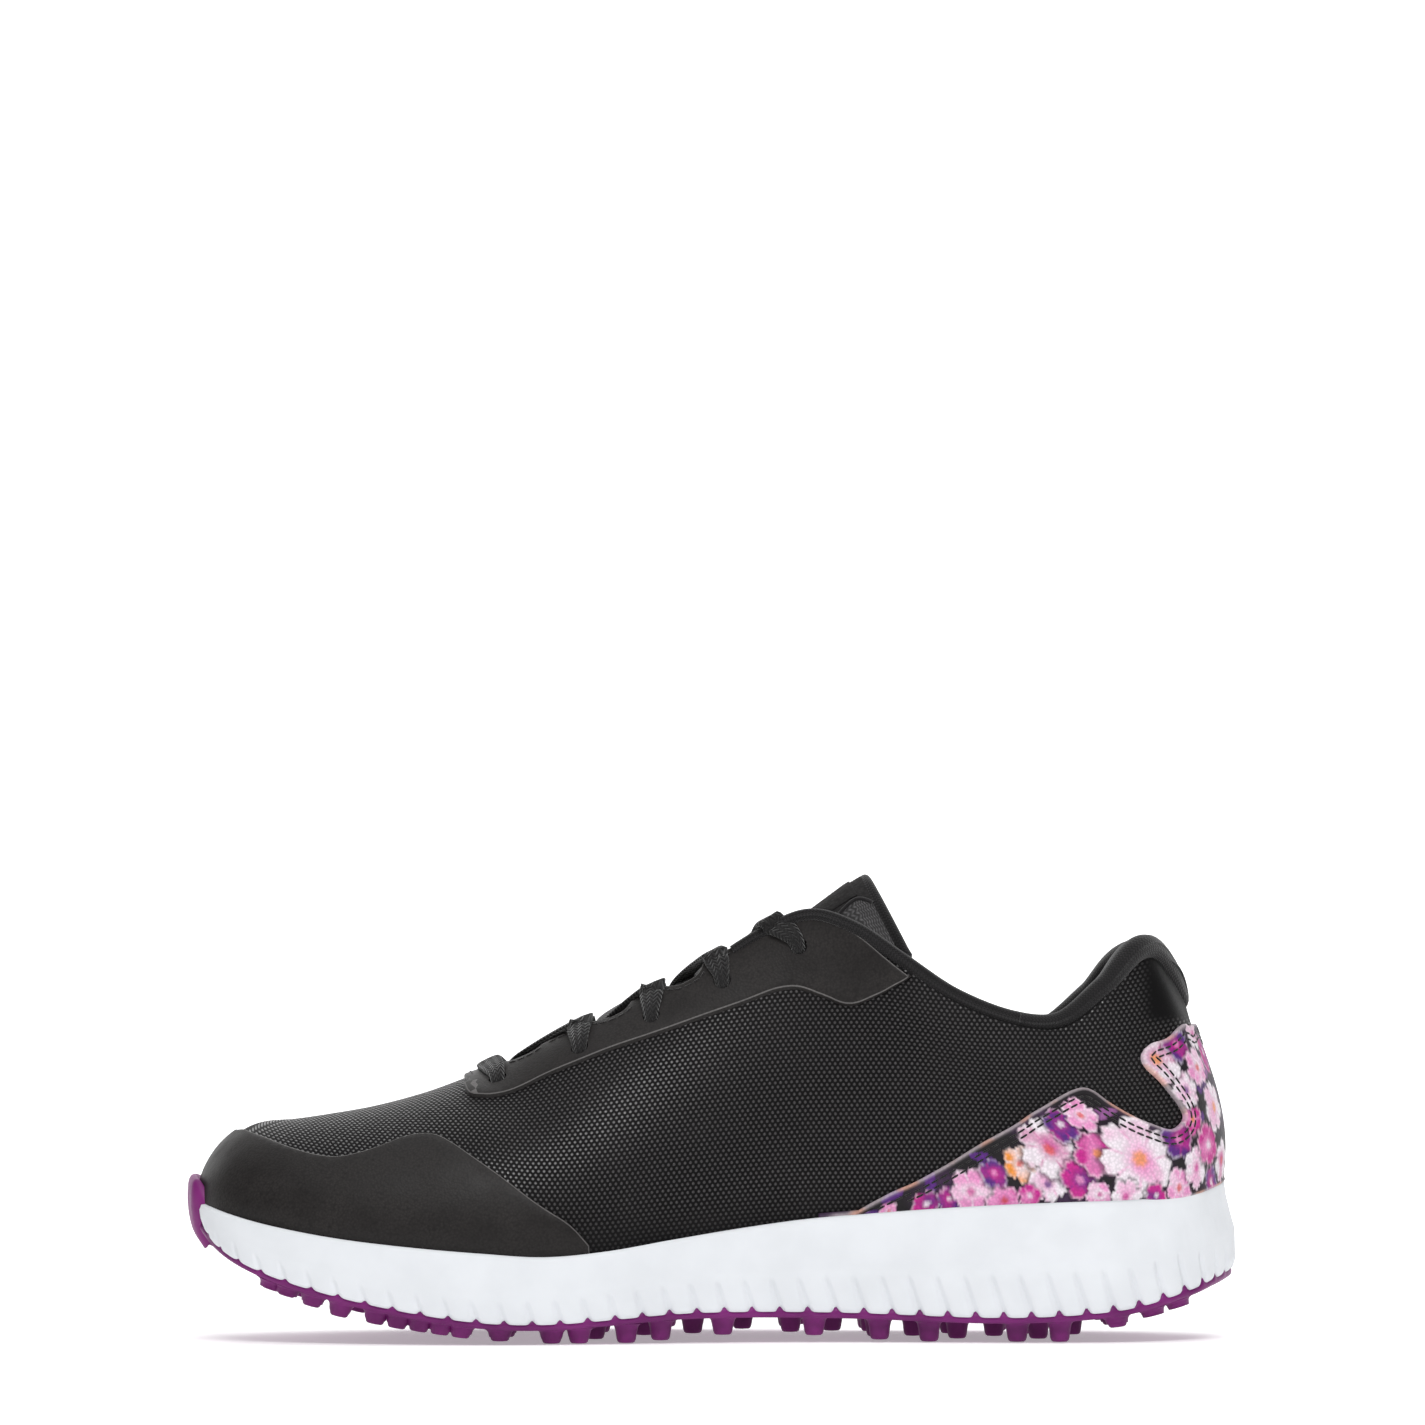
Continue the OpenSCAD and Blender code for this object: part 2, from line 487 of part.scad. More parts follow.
module lace() {
    first = half_route(MED, 0, -0.4);
    second = half_route(LAT, 0, 1.2);
    bar = side_row_at(EYELETS[0]);
    route = concat(back(first), [[[bar[0], bar[1], bar[2] + 1.2], TONGUE_UP, lace_w, lace_t]], second);
    n = len(route);
    color([0.1, 0.1, 0.11])
        loft([for (i = [0:n - 1])
            let (a = route[max(i - 1, 0)][0], b = route[min(i + 1, n - 1)][0],
                dir = unit(b - a), flat_dir = unit([0.9, 0, 0.43] - dir * (dir * [0.9, 0, 0.43])))
            let (nn = unit(cross(flat_dir, dir)), q = route[i])
            strip([q[0], nn, q[2], q[3]], flat_dir)]);
}
module aglets() {
    color([0.08, 0.08, 0.09])
        for (s = [MED, LAT])
            tube([last(11.93, s, 0.36, under_d + 0.6), last(12.05, s, 0.18, under_d + 0.6)], 1.3, 8);
}

outsole();
midsole();
insole_board();
footbed();
upper_shell();
toe_overlay();
eyestay();
heel_overlay();
toe_puff();
heel_counter();
lace_stay_medial();
lace_stay_lateral();
vamp_lining();
quarter_lining();
collar_foam();
heel_roll();
topline_binding_medial();
topline_binding_lateral();
tongue_face();
tongue_foam();
tongue_lining();
tongue_piping();
tongue_tab();
lace();
aglets();
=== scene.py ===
"""Golf shoe: the visible pieces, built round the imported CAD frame.

Sizes below are in millimetres in the CAD frame (toe towards -X, inner side towards -Y) and put_mesh() turns
them into metres. Most pieces are cut from one surface, the outside of the upper: column t runs from the toe (0)
to the heel (20) on each side, v runs from the sole seam (0) up to the top line (1), and d is the depth below it.
"""

import math

import bmesh
import bpy
import numpy as np
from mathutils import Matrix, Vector, geometry


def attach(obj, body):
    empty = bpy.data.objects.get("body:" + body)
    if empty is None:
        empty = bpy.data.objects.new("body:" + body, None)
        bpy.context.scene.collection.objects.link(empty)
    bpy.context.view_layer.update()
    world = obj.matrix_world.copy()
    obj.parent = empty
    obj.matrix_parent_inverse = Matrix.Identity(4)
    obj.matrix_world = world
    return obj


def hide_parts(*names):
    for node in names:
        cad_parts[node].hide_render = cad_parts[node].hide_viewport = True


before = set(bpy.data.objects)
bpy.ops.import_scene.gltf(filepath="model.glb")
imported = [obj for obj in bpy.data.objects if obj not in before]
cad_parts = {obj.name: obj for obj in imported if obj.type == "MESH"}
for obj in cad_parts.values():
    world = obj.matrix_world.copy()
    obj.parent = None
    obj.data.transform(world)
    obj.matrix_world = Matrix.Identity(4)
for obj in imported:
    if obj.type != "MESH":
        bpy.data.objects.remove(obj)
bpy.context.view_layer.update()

MM = 0.001
MED, LAT = -1, 1

# ---------------------------------------------------------------- camera
CAMERA_DISTANCE = 1.0505
CAMERA_HEIGHT = 0.050
CAMERA_PITCH = 6.236
camera = bpy.data.objects.new("camera", bpy.data.cameras.new("camera"))
bpy.context.scene.collection.objects.link(camera)
camera.data.lens = 100
camera.data.sensor_width = 36
camera.location = (0.0, -CAMERA_DISTANCE, CAMERA_HEIGHT)
camera.rotation_euler = (math.radians(90 + CAMERA_PITCH), 0, 0)
bpy.context.scene.camera = camera
bpy.context.scene.view_settings.view_transform = "Standard"

# ---------------------------------------------------------------- the last: one surface for all the layers
# [sole x, medial y, lateral y, sole underside z, upper seam z, top x, top y, half opening, top z, steepness]
SECTIONS = np.array([
    [-137.5, -7, -7, 33, 36.5, -114, -6, 0, 56.6, 0],
    [-134.5, -20, 6, 29.9, 35.2, -112.5, -6, 0, 56.7, 0],
    [-127, -32, 19, 23.7, 33, -108, -5.8, 0, 57, 0],
    [-113, -41, 30, 17.3, 29.7, -100, -5.4, 0, 58.2, 0],
    [-95, -46, 39, 12, 26.5, -88, -4.8, 0, 60.4, 0],
    [-76, -48.5, 45, 8, 24.3, -75, -4, 0, 64, 0],
    [-58, -49, 48, 5.5, 22.8, -62.5, -3.2, 0, 68.6, 0],
    [-42, -47.5, 49, 5, 21.9, -54, -2.6, 8, 71, 0.1],
    [-26, -44.5, 48.5, 6, 23.3, -38, -1.8, 12, 78.5, 0.12],
    [-9, -40, 46.5, 7.4, 26.2, -20, -1, 14, 87, 0.14],
    [8, -36.5, 44, 7.8, 29, -2, -0.5, 16.5, 96.5, 0.18],
    [24, -34.5, 41.5, 7.7, 31.2, 13, 0, 19, 105.5, 0.26],
    [38, -34.5, 39.5, 7.4, 32.4, 25, 0, 22, 110, 0.4],
    [52, -35.5, 38.5, 6.9, 33.5, 36, 0, 26, 106, 0.6],
    [66, -36.5, 37.5, 6.4, 34.4, 48, 0, 30, 96.8, 0.8],
    [80, -37.5, 37, 6.4, 35.1, 61.5, 0, 31.5, 87.2, 0.9],
    [94, -37.5, 36.5, 7.1, 35.6, 77, 0, 31.5, 81, 0.9],
    [107, -35.5, 35, 8.6, 36, 91, 0, 28.5, 80.5, 0.85],
    [120, -30, 30, 12, 37, 104, 0, 23.5, 90.5, 0.6],
    [130, -20, 20, 16, 39.3, 114.5, 0, 14, 99.5, 0.45],
    [137.5, 0, 0, 20, 41.8, 125.5, 0, 0, 86, 0.9],
], float)
LAST = len(SECTIONS) - 1
CLOSED = 6
BULGE_T, BULGE = [0, 1, 2, 3, 4, LAST], [0.4, 0.6, 1.5, 2.5, 3, 3]
SEAM_INSET = 4.0
SKIRT = 26.0
UP = np.array([0.0, 0.0, 1.0])


def unit(v):
    return v / np.maximum(np.linalg.norm(v, axis=-1, keepdims=True), 1e-9)


def side_rows(side):
    q = SECTIONS
    y = q[:, 1] if side == MED else q[:, 2]
    return np.stack([q[:, 0], y, q[:, 3], q[:, 4], q[:, 5], q[:, 6], side * q[:, 7], q[:, 8], q[:, 9]], 1)


def catmull(a, b, c, d, f):
    return 0.5 * (2 * b + (c - a) * f + (2 * a - 5 * b + 4 * c - d) * f**2 + (3 * b - a - 3 * c + d) * f**3)


def rail_of(t, side):
    own, other = side_rows(side), side_rows(-side)
    rows = np.vstack([other[1], own, other[LAST - 1]])
    t = np.clip(np.asarray(t, float), 0, LAST)
    k = np.minimum(t.astype(int), LAST - 1)
    f = (t - k)[..., None]
    r = catmull(rows[k], rows[k + 1], rows[k + 2], rows[k + 3], f)
    r[..., 6] = np.where(t <= CLOSED, 0, side * np.maximum(side * r[..., 6], 0))
    r[..., 8] = np.where(t <= CLOSED, 0, r[..., 8])
    return r


def rail(t, s):
    """[x, y, underside z, seam z, top x, top y, signed half opening, top z, steepness] at columns t on sides s."""
    t, s = np.broadcast_arrays(np.asarray(t, float), np.asarray(s, float))
    return np.where((s < 0)[..., None], rail_of(t, MED), rail_of(t, LAT))


def outward(t, s):
    t, s = np.broadcast_arrays(np.asarray(t, float), np.asarray(s, float))
    e = 0.02
    step = rail(np.clip(t + e, 0, LAST), s) - rail(np.clip(t - e, 0, LAST), s)
    n = unit(np.stack([-s * step[..., 1], s * step[..., 0], 0 * t], -1))
    n = np.where((t < 0.01)[..., None], [-1.0, 0, 0], n)
    return np.where((t > LAST - 0.01)[..., None], [1.0, 0, 0], n)


def edge(t, s, inset):
    """Point of the sole outline, moved in by inset, at z 0."""
    r = rail(t, s)
    return np.stack([r[..., 0], r[..., 1], 0 * r[..., 0]], -1) - outward(t, s) * np.asarray(inset)[..., None]


def last(t, s, v, d):
    t, s, v, d = np.broadcast_arrays(*[np.asarray(q, float) for q in (t, s, v, d)])
    r, n = rail(t, s), outward(t, s)
    w = r[..., 8:9]
    foot = edge(t, s, SEAM_INSET) + r[..., 3:4] * UP
    top = np.stack([r[..., 4], r[..., 5] + r[..., 6], r[..., 7]], -1)
    h = (top - foot)[..., 2:3]
    away = (foot - top) * [1, 1, 0]
    c1 = foot + n * np.interp(t, BULGE_T, BULGE)[..., None] + UP * h * 0.42
    c2 = (top + away * 0.6) * (1 - w) + (top + n * 3 - UP * h * 0.34) * w
    u = np.maximum(v, 0)[..., None]
    b0, b1, b2, b3 = (1 - u) ** 3, 3 * u * (1 - u) ** 2, 3 * u * u * (1 - u), u**3
    lean = unit(UP * (1 - w) + n * w)
    normal = unit((b0 + b1) * n + (b2 + b3) * lean)
    skirt = UP * SKIRT * np.minimum(v, 0)[..., None]
    return b0 * foot + b1 * c1 + b2 * c2 + b3 * top - normal * d[..., None] + skirt


def chart(kind, a, b, d):
    """Points of the upper in one of three flat charts, each without a seam where its piece lies."""
    a, b = np.asarray(a, float), np.asarray(b, float)
    if kind == "toe":
        return last(np.abs(a), np.where(a < 0, MED, LAT), b, d)
    if kind == "heel":
        return last(LAST - np.abs(a), np.where(a < 0, MED, LAT), b, d)
    return last(a, np.where(b <= 1, MED, LAT), np.where(b <= 1, b, 2 - b), d)


def locate(points):
    """(t, v) on the medial side of points given as (x, z) of the side view."""
    tt, vv = np.meshgrid(np.linspace(0, LAST, 801), np.linspace(-0.05, 1, 211), indexing="ij")
    p = last(tt, MED, vv, 0)
    out = []
    for x, z in points:
        far = (p[..., 0] - x) ** 2 + (p[..., 2] - z) ** 2
        i = np.unravel_index(np.argmin(far), far.shape)
        out.append((tt[i], vv[i]))
    return np.array(out)


# ---------------------------------------------------------------- meshes
def put_mesh(name, verts, faces, mat, body, nodes=(), uv=None, merge=0.0):
    me = bpy.data.meshes.new(name)
    me.from_pydata((np.asarray(verts, float) * MM).tolist(), [], [list(map(int, f)) for f in faces])
    if uv is not None:
        layer = me.uv_layers.new(name="UVMap")
        index = np.zeros(len(me.loops), int)
        me.loops.foreach_get("vertex_index", index)
        layer.data.foreach_set("uv", np.asarray(uv, float)[index].ravel())
    ob = bpy.data.objects.new(name, me)
    bpy.context.scene.collection.objects.link(ob)
    if merge:
        bm = bmesh.new()
        bm.from_mesh(me)
        bmesh.ops.remove_doubles(bm, verts=bm.verts, dist=merge * MM)
        bmesh.ops.recalc_face_normals(bm, faces=bm.faces)
        bm.to_mesh(me)
        bm.free()
    me.materials.append(mat)
    me.polygons.foreach_set("use_smooth", [True] * len(me.polygons))
    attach(ob, body)
    if nodes:
        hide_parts(*nodes)
    return ob


def grid_faces(nu, nv, around=False, tube=False, start=0, flip=False):
    out = []
    for i in range(nu if around else nu - 1):
        for j in range(nv if tube else nv - 1):
            a, b = start + i * nv + j, start + ((i + 1) % nu) * nv + j
            a2, b2 = start + i * nv + (j + 1) % nv, start + ((i + 1) % nu) * nv + (j + 1) % nv
            out.append((a, a2, b2, b) if flip else (a, b, b2, a2))
    return out


def slab(outer, inner, around=False):
    """A closed sheet between two grids of the same shape."""
    nu, nv = outer.shape[:2]
    verts = np.vstack([outer.reshape(-1, 3), inner.reshape(-1, 3)])
    m = nu * nv
    faces = grid_faces(nu, nv, around) + grid_faces(nu, nv, around, start=m, flip=True)
    for i in range(nu if around else nu - 1):
        k = (i + 1) % nu
        faces.append((i * nv, m + i * nv, m + k * nv, k * nv))
        faces.append((i * nv + nv - 1, k * nv + nv - 1, m + k * nv + nv - 1, m + i * nv + nv - 1))
    if not around:
        for j in range(nv - 1):
            faces.append((j, j + 1, m + j + 1, m + j))
            z = (nu - 1) * nv
            faces.append((z + j, m + z + j, m + z + j + 1, z + j + 1))
    return verts, faces


def arc_along(p):
    """Length along axis 0 of a row of points."""
    step = np.linalg.norm(np.diff(p, axis=0), axis=-1)
    return np.concatenate([np.zeros((1,) + step.shape[1:]), np.cumsum(step, 0)], 0)


def sweep(rings):
    """Tube faces and end caps through rings (n, m, 3)."""
    n, m = rings.shape[:2]
    faces = grid_faces(n, m, tube=True)
    faces += [tuple(range(m - 1, -1, -1)), tuple((n - 1) * m + j for j in range(m))]
    return rings.reshape(-1, 3), faces


def smooth_path(points, step=0.6):
    """Catmull-Rom curve through points (rows of any width), sampled every step millimetres or so."""
    p = np.asarray(points, float)
    q = np.vstack([2 * p[0] - p[1], p, 2 * p[-1] - p[-2]])
    out = []
    for i in range(len(p) - 1):
        n = max(2, int(np.linalg.norm(p[i + 1, :3] - p[i, :3]) / step))
        for f in np.arange(n) / n:
            out.append(catmull(q[i], q[i + 1], q[i + 2], q[i + 3], f))
    out.append(p[-1])
    return np.array(out)


# ---------------------------------------------------------------- materials
def rgb(r, g, b):
    """Linear colour from eight-bit display values."""
    return tuple((c / 255 / 12.92 if c < 11 else ((c / 255 + 0.055) / 1.055) ** 2.4) for c in (r, g, b)) + (1.0,)


class Shader:
    """Short names for the nodes of one material."""

    def __init__(self, name):
        self.mat = bpy.data.materials.new(name)
        self.mat.use_nodes = True
        self.tree = self.mat.node_tree
        self.tree.nodes.clear()
        self.bsdf = self.node("ShaderNodeBsdfPrincipled")
        out = self.node("ShaderNodeOutputMaterial")
        self.tree.links.new(self.bsdf.outputs[0], out.inputs[0])
        self.bsdf.inputs["Specular IOR Level"].default_value = 0.2

    def node(self, kind, **props):
        n = self.tree.nodes.new(kind)
        for k, v in props.items():
            setattr(n, k, v)
        return n

    def put(self, socket, value):
        if isinstance(value, bpy.types.NodeSocket):
            self.tree.links.new(value, socket)
        else:
            socket.default_value = value

    def set(self, **values):
        for k, v in values.items():
            self.put(self.bsdf.inputs[k.replace("_", " ").title().replace("Ior", "IOR")], v)

    def math(self, op, a, b=0.0, c=0.0, clamp=False):
        n = self.node("ShaderNodeMath", operation=op, use_clamp=clamp)
        for i, v in enumerate((a, b, c)):
            self.put(n.inputs[i], v)
        return n.outputs[0]

    def mix(self, f, a, b):
        n = self.node("ShaderNodeMix", data_type="RGBA", blend_type="MIX")
        self.put(n.inputs["Factor"], f)
        self.put(n.inputs[6], a)
        self.put(n.inputs[7], b)
        return n.outputs[2]

    def spread(self, value, low, high, to_low=0.0, to_high=1.0):
        n = self.node("ShaderNodeMapRange", interpolation_type="SMOOTHSTEP")
        for i, v in enumerate((value, low, high, to_low, to_high)):
            self.put(n.inputs[i], v)
        return n.outputs[0]

    def place(self):
        """Object coordinates in millimetres."""
        n = self.node("ShaderNodeVectorMath", operation="SCALE")
        self.put(n.inputs[0], self.node("ShaderNodeTexCoord").outputs["Object"])
        n.inputs["Scale"].default_value = 1000
        return n.outputs[0]

    def uv(self):
        return self.node("ShaderNodeTexCoord").outputs["UV"]

    def parts(self, vector):
        n = self.node("ShaderNodeSeparateXYZ")
        self.put(n.inputs[0], vector)
        return n.outputs[0], n.outputs[1], n.outputs[2]

    def join(self, x, y, z=0.0):
        n = self.node("ShaderNodeCombineXYZ")
        for i, v in enumerate((x, y, z)):
            self.put(n.inputs[i], v)
        return n.outputs[0]

    def noise(self, vector, scale, detail=3.0, rough=0.5):
        n = self.node("ShaderNodeTexNoise")
        self.put(n.inputs["Vector"], vector)
        n.inputs["Scale"].default_value = scale
        n.inputs["Detail"].default_value = detail
        n.inputs["Roughness"].default_value = rough
        return n.outputs[0]

    def cells(self, vector, scale):
        n = self.node("ShaderNodeTexVoronoi", feature="F1")
        self.put(n.inputs["Vector"], vector)
        n.inputs["Scale"].default_value = scale
        return n.outputs[0]

    def wave(self, value, pitch, phase=0.0):
        """0 to 1 sine of a value in millimetres."""
        s = self.math("SINE", self.math("MULTIPLY_ADD", value, 2 * math.pi / pitch, phase))
        return self.math("MULTIPLY_ADD", s, 0.5, 0.5)

    def bump(self, height, strength, distance):
        n = self.node("ShaderNodeBump")
        n.inputs["Strength"].default_value = strength
        n.inputs["Distance"].default_value = distance * MM
        self.put(n.inputs["Height"], height)
        self.put(self.bsdf.inputs["Normal"], n.outputs[0])


def leather(name, colour, light, grain, rough, depth=0.06):
    """Fine grained synthetic leather with scuffed, slightly lighter high spots."""
    s = Shader(name)
    p = s.place()
    fine = s.cells(p, grain)
    patch = s.noise(p, 0.12, 4)
    s.set(base_color=s.mix(s.math("MULTIPLY", patch, s.math("SUBTRACT", 1.1, fine), clamp=True), colour, light),
          roughness=s.spread(patch, 0.3, 0.7, rough - 0.06, rough + 0.08))
    s.bump(s.math("ADD", fine, s.math("MULTIPLY", s.noise(p, grain * 2.5, 2), 0.5)), 0.6, depth)
    return s.mat


def fabric(name, colour, light, pitch_u, pitch_v, rough=0.9, depth=0.12, use_uv=True):
    """Knit: rows of loops along u, offset every other row."""
    s = Shader(name)
    p = s.uv() if use_uv else s.place()
    x, y, _ = s.parts(p)
    rib = s.wave(s.math("MULTIPLY_ADD", s.wave(y, pitch_v * 2), pitch_u * 0.5, x), pitch_u)
    row = s.wave(y, pitch_v)
    loops = s.math("MULTIPLY", rib, s.math("MULTIPLY_ADD", row, 0.6, 0.4))
    wear = s.noise(s.place(), 0.25, 4)
    s.set(base_color=s.mix(s.math("MULTIPLY", loops, wear), colour, light), roughness=rough)
    s.bsdf.inputs["Sheen Weight"].default_value = 0.25
    s.bsdf.inputs["Sheen Roughness"].default_value = 0.5
    s.bump(s.math("ADD", loops, s.math("MULTIPLY", s.noise(s.place(), 3.0, 2), 0.3)), 0.7, depth)
    return s.mat


DOT_U, DOT_V = 1.4, 1.07


def embossed():
    """Black synthetic leather with staggered embossed dots. The dots' lighter colour is a painted glint, and dots and
    glint fade out at the heel and towards the sole seam as painted shade.
    """
    s = Shader("upper_leather")
    u, v, _ = s.parts(s.uv())
    v = s.math("MULTIPLY_ADD", u, 0.06, v)
    row = s.math("FLOOR", s.math("DIVIDE", v, DOT_V))
    half = s.math("MULTIPLY", s.math("PINGPONG", row, 1.0), 0.5)
    cu = s.math("SUBTRACT", s.math("FRACT", s.math("ADD", s.math("DIVIDE", u, DOT_U), half)), 0.5)
    cv = s.math("SUBTRACT", s.math("FRACT", s.math("DIVIDE", v, DOT_V)), 0.5)
    du, dv = s.math("MULTIPLY", cu, DOT_U), s.math("MULTIPLY", cv, DOT_V)
    far = s.math("SQRT", s.math("ADD", s.math("MULTIPLY", du, du), s.math("MULTIPLY", dv, dv)))
    dot = s.spread(far, 0.5, 0.2)
    x, _, z = s.parts(s.place())
    # Painted shade: the dots, their bump and their painted glint colour, fade out at the heel and lower down towards
    # the sole seam
    heel = s.math("MULTIPLY", s.spread(x, 108, 115), s.spread(z, 79, 84))
    low = s.math("SUBTRACT", z, s.math("MULTIPLY_ADD", x, 0.06, 26))
    dot_fade_painted_shade = s.math("MULTIPLY", s.math("SUBTRACT", 1.0, heel), s.spread(low, 0, 16, 0.25, 1.0))
    dot = s.math("MULTIPLY", dot, dot_fade_painted_shade)
    p = s.place()
    grain = s.noise(p, 2.2, 3)
    patch = s.noise(p, 0.06, 3)
    # Lighter grey on the dots: a painted glint on the embossing, over the near-black leather
    base = s.mix(s.math("MULTIPLY", dot, 0.8), rgb(10, 9, 10), rgb(58, 56, 57))
    s.set(base_color=s.mix(s.spread(patch, 0.35, 0.7, 0.0, 0.25), base, rgb(30, 28, 29)),
          roughness=s.math("SUBTRACT", s.spread(grain, 0.3, 0.7, 0.54, 0.62), s.math("MULTIPLY", dot, 0.26)))
    s.put(s.bsdf.inputs["Specular IOR Level"], s.math("MULTIPLY_ADD", dot, 0.75, 0.12))
    s.bump(s.math("ADD", dot, s.math("MULTIPLY", grain, 0.12)), 1.0, 0.34)
    return s.mat


def moulded(name, colour, light, rough, depth=0.05):
    s = Shader(name)
    p = s.place()
    s.set(base_color=s.mix(s.spread(s.noise(p, 0.08, 3), 0.3, 0.7), colour, light),
          roughness=s.spread(s.noise(p, 0.5, 3), 0.3, 0.7, rough - 0.05, rough + 0.08))
    s.bump(s.noise(p, 3.5, 4, 0.7), 0.45, depth)
    return s.mat


def woven_lace():
    """Flat braid: chevrons along the lace, with a painted glint on the raised strands. u runs along it, v across, both
    in millimetres.
    """
    s = Shader("lace_weave")
    u, v, _ = s.parts(s.uv())
    across = s.math("ABSOLUTE", s.math("WRAP", v, 1.1, -1.1))
    strands = s.wave(s.math("MULTIPLY_ADD", across, 1.1, u), 1.25)
    rib = s.wave(v, 2.2)
    height = s.math("MULTIPLY", s.math("POWER", strands, 0.7), s.math("MULTIPLY_ADD", rib, 0.3, 0.7))
    fuzz = s.noise(s.place(), 2.0, 4)
    # Raised strands painted lighter grey: a painted glint on the strand tops, broken up by the fuzz noise
    s.set(base_color=s.mix(s.math("MULTIPLY", height, fuzz), rgb(8, 8, 8), rgb(44, 42, 43)), roughness=0.85)
    s.bsdf.inputs["Sheen Weight"].default_value = 0.3
    s.bump(height, 0.9, 0.3)
    return s.mat


# Flowers printed on the heel: [along, up, radius, petals, petal colour, rim colour, eye colour]
WHITE, PINK, MAGENTA = (238, 228, 236), (232, 150, 200), (196, 44, 140)
PURPLE, ORANGE, RED = (92, 44, 128), (238, 150, 64), (214, 70, 60)
FLOWERS = [
    (49, 35, 3.4, 5, MAGENTA, PURPLE, WHITE), (40, 32.5, 2.6, 5, PINK, WHITE, RED),
    (54.8, 36, 3.6, 5, PURPLE, MAGENTA, WHITE), (60.5, 38.6, 5.2, 6, PINK, WHITE, MAGENTA),
    (68.7, 35.6, 4.4, 5, PINK, MAGENTA, RED), (66.8, 42.6, 3.8, 5, PURPLE, MAGENTA, PINK),
    (74.7, 45.4, 4.6, 5, ORANGE, WHITE, RED), (80.6, 40, 4.6, 6, WHITE, PINK, PURPLE),
    (75.5, 37.5, 3.2, 5, MAGENTA, PINK, WHITE), (83, 49, 7.4, 6, WHITE, MAGENTA, RED),
    (89.5, 41.4, 5.2, 5, MAGENTA, PURPLE, PINK), (95.6, 47.6, 6, 6, MAGENTA, PINK, ORANGE),
    (94, 37.4, 3.6, 5, PINK, WHITE, MAGENTA), (89.6, 55, 4.4, 5, PURPLE, MAGENTA, WHITE),
    (95.6, 57.6, 4.4, 5, PINK, WHITE, RED), (107, 46.4, 10.4, 7, WHITE, PINK, ORANGE),
    (102, 37, 4.4, 6, WHITE, PINK, MAGENTA), (111, 37.2, 3.6, 5, MAGENTA, PURPLE, WHITE),
    (120, 39, 4.8, 5, PINK, WHITE, RED), (120.3, 51.6, 5.6, 5, PURPLE, MAGENTA, PINK),
    (127.5, 44.5, 5.4, 6, WHITE, PINK, MAGENTA), (127.4, 56.6, 4.2, 5, MAGENTA, PINK, ORANGE),
    (126.5, 64.4, 4.8, 6, WHITE, PINK, PURPLE), (119.6, 72, 6.6, 7, WHITE, MAGENTA, ORANGE),
    (127.5, 76, 4.6, 5, PURPLE, MAGENTA, PINK), (134, 70, 5, 6, PINK, WHITE, RED),
    (134.5, 50, 5.6, 6, MAGENTA, PINK, WHITE), (141, 60, 6.4, 7, WHITE, PINK, ORANGE),
    (137, 79, 4.2, 5, WHITE, PINK, MAGENTA), (144, 74, 5, 5, MAGENTA, PURPLE, WHITE),
    (145, 46, 5.4, 6, WHITE, MAGENTA, RED), (137, 40.5, 4, 5, PURPLE, MAGENTA, WHITE),
]


def wobble(u, v, size, seed):
    """Smooth wavy offset of about one unit, made of a few sines."""
    slanted = np.sin((u + v) / size * 0.7 + 3.3 * seed)
    return (np.sin(u / size + seed) + np.sin(v / size * 1.3 + 2.1 * seed) + slanted) / 3


def step_up(x, low, high):
    f = np.clip((x - low) / (high - low), 0, 1)
    return f * f * (3 - 2 * f)


def paint(colour, share, over):
    return colour + (np.asarray(over)[..., :3] - colour) * share[..., None]


def flower_print(u, v):
    """Linear colours of the printed flowers at points u along and v up the heel."""
    u, v = u + 0.55 * wobble(u, v, 2.3, 1.0), v + 0.55 * wobble(u, v, 2.1, 4.0)
    cloud = step_up(wobble(u, v, 4.6, 2.0), -0.1, 0.6)
    colour = paint(np.tile(np.array(rgb(30, 27, 30))[:3], (len(u), 1)), cloud * 0.8, rgb(70, 46, 78))
    for cu, cv in [(36 + 4.7 * k, 31.5 + 6.1 * math.sin(2.4 * k) + 0.33 * 4.7 * k) for k in range(24)]:
        turn = 2.1 * cu
        x = (u - cu) * math.cos(turn) + (v - cv) * math.sin(turn)
        y = (v - cv) * math.cos(turn) - (u - cu) * math.sin(turn)
        leaf = (x / 3.4) ** 2 + (y / (1.5 * (1 - 0.25 * x / 3.4))) ** 2
        colour = paint(colour, step_up(-leaf, -1.05, -0.85), rgb(*(PURPLE if cu % 2 < 1 else (150, 92, 150))))
    for n, (cu, cv, r, petals, petal, rim, eye) in enumerate(FLOWERS):
        x, y = u - cu, v - cv
        angle = np.arctan2(y, x) + 1.7 * n
        lobe = np.abs(np.cos(angle * petals / 2))
        inside = np.hypot(x, y) / r / (0.72 + 0.32 * lobe**0.45 + 0.035 * np.sin(angle * 3 * petals + n))
        blush = 0.5 + 0.5 * wobble(x, y, 0.9 + 0.12 * r, 1.3 * n)
        fill = np.tile(np.array(rgb(*petal))[:3], (len(u), 1))
        fill = paint(fill, step_up(blush, 0.45, 0.75) * 0.55, rgb(*rim))
        fill = paint(fill, step_up(-inside, -0.62, -0.2) * (0.35 + 0.6 * blush), rgb(*rim))
        fill = paint(fill, step_up(-lobe, -0.34, -0.05) * step_up(inside, 0.25, 0.6) * 0.6, rgb(*rim))
        fill = paint(fill, step_up(inside, 0.82, 1.0) * 0.5, rgb(250, 244, 248))
        fill = paint(fill, step_up(-inside, -0.3, -0.12) * 0.8, rgb(*eye))
        colour = paint(colour, step_up(-inside, -1.22, -1.02) * 0.7, rgb(36, 20, 40))
        colour = colour + (fill - colour) * step_up(-inside, -1.03, -0.96)[:, None]
    return colour


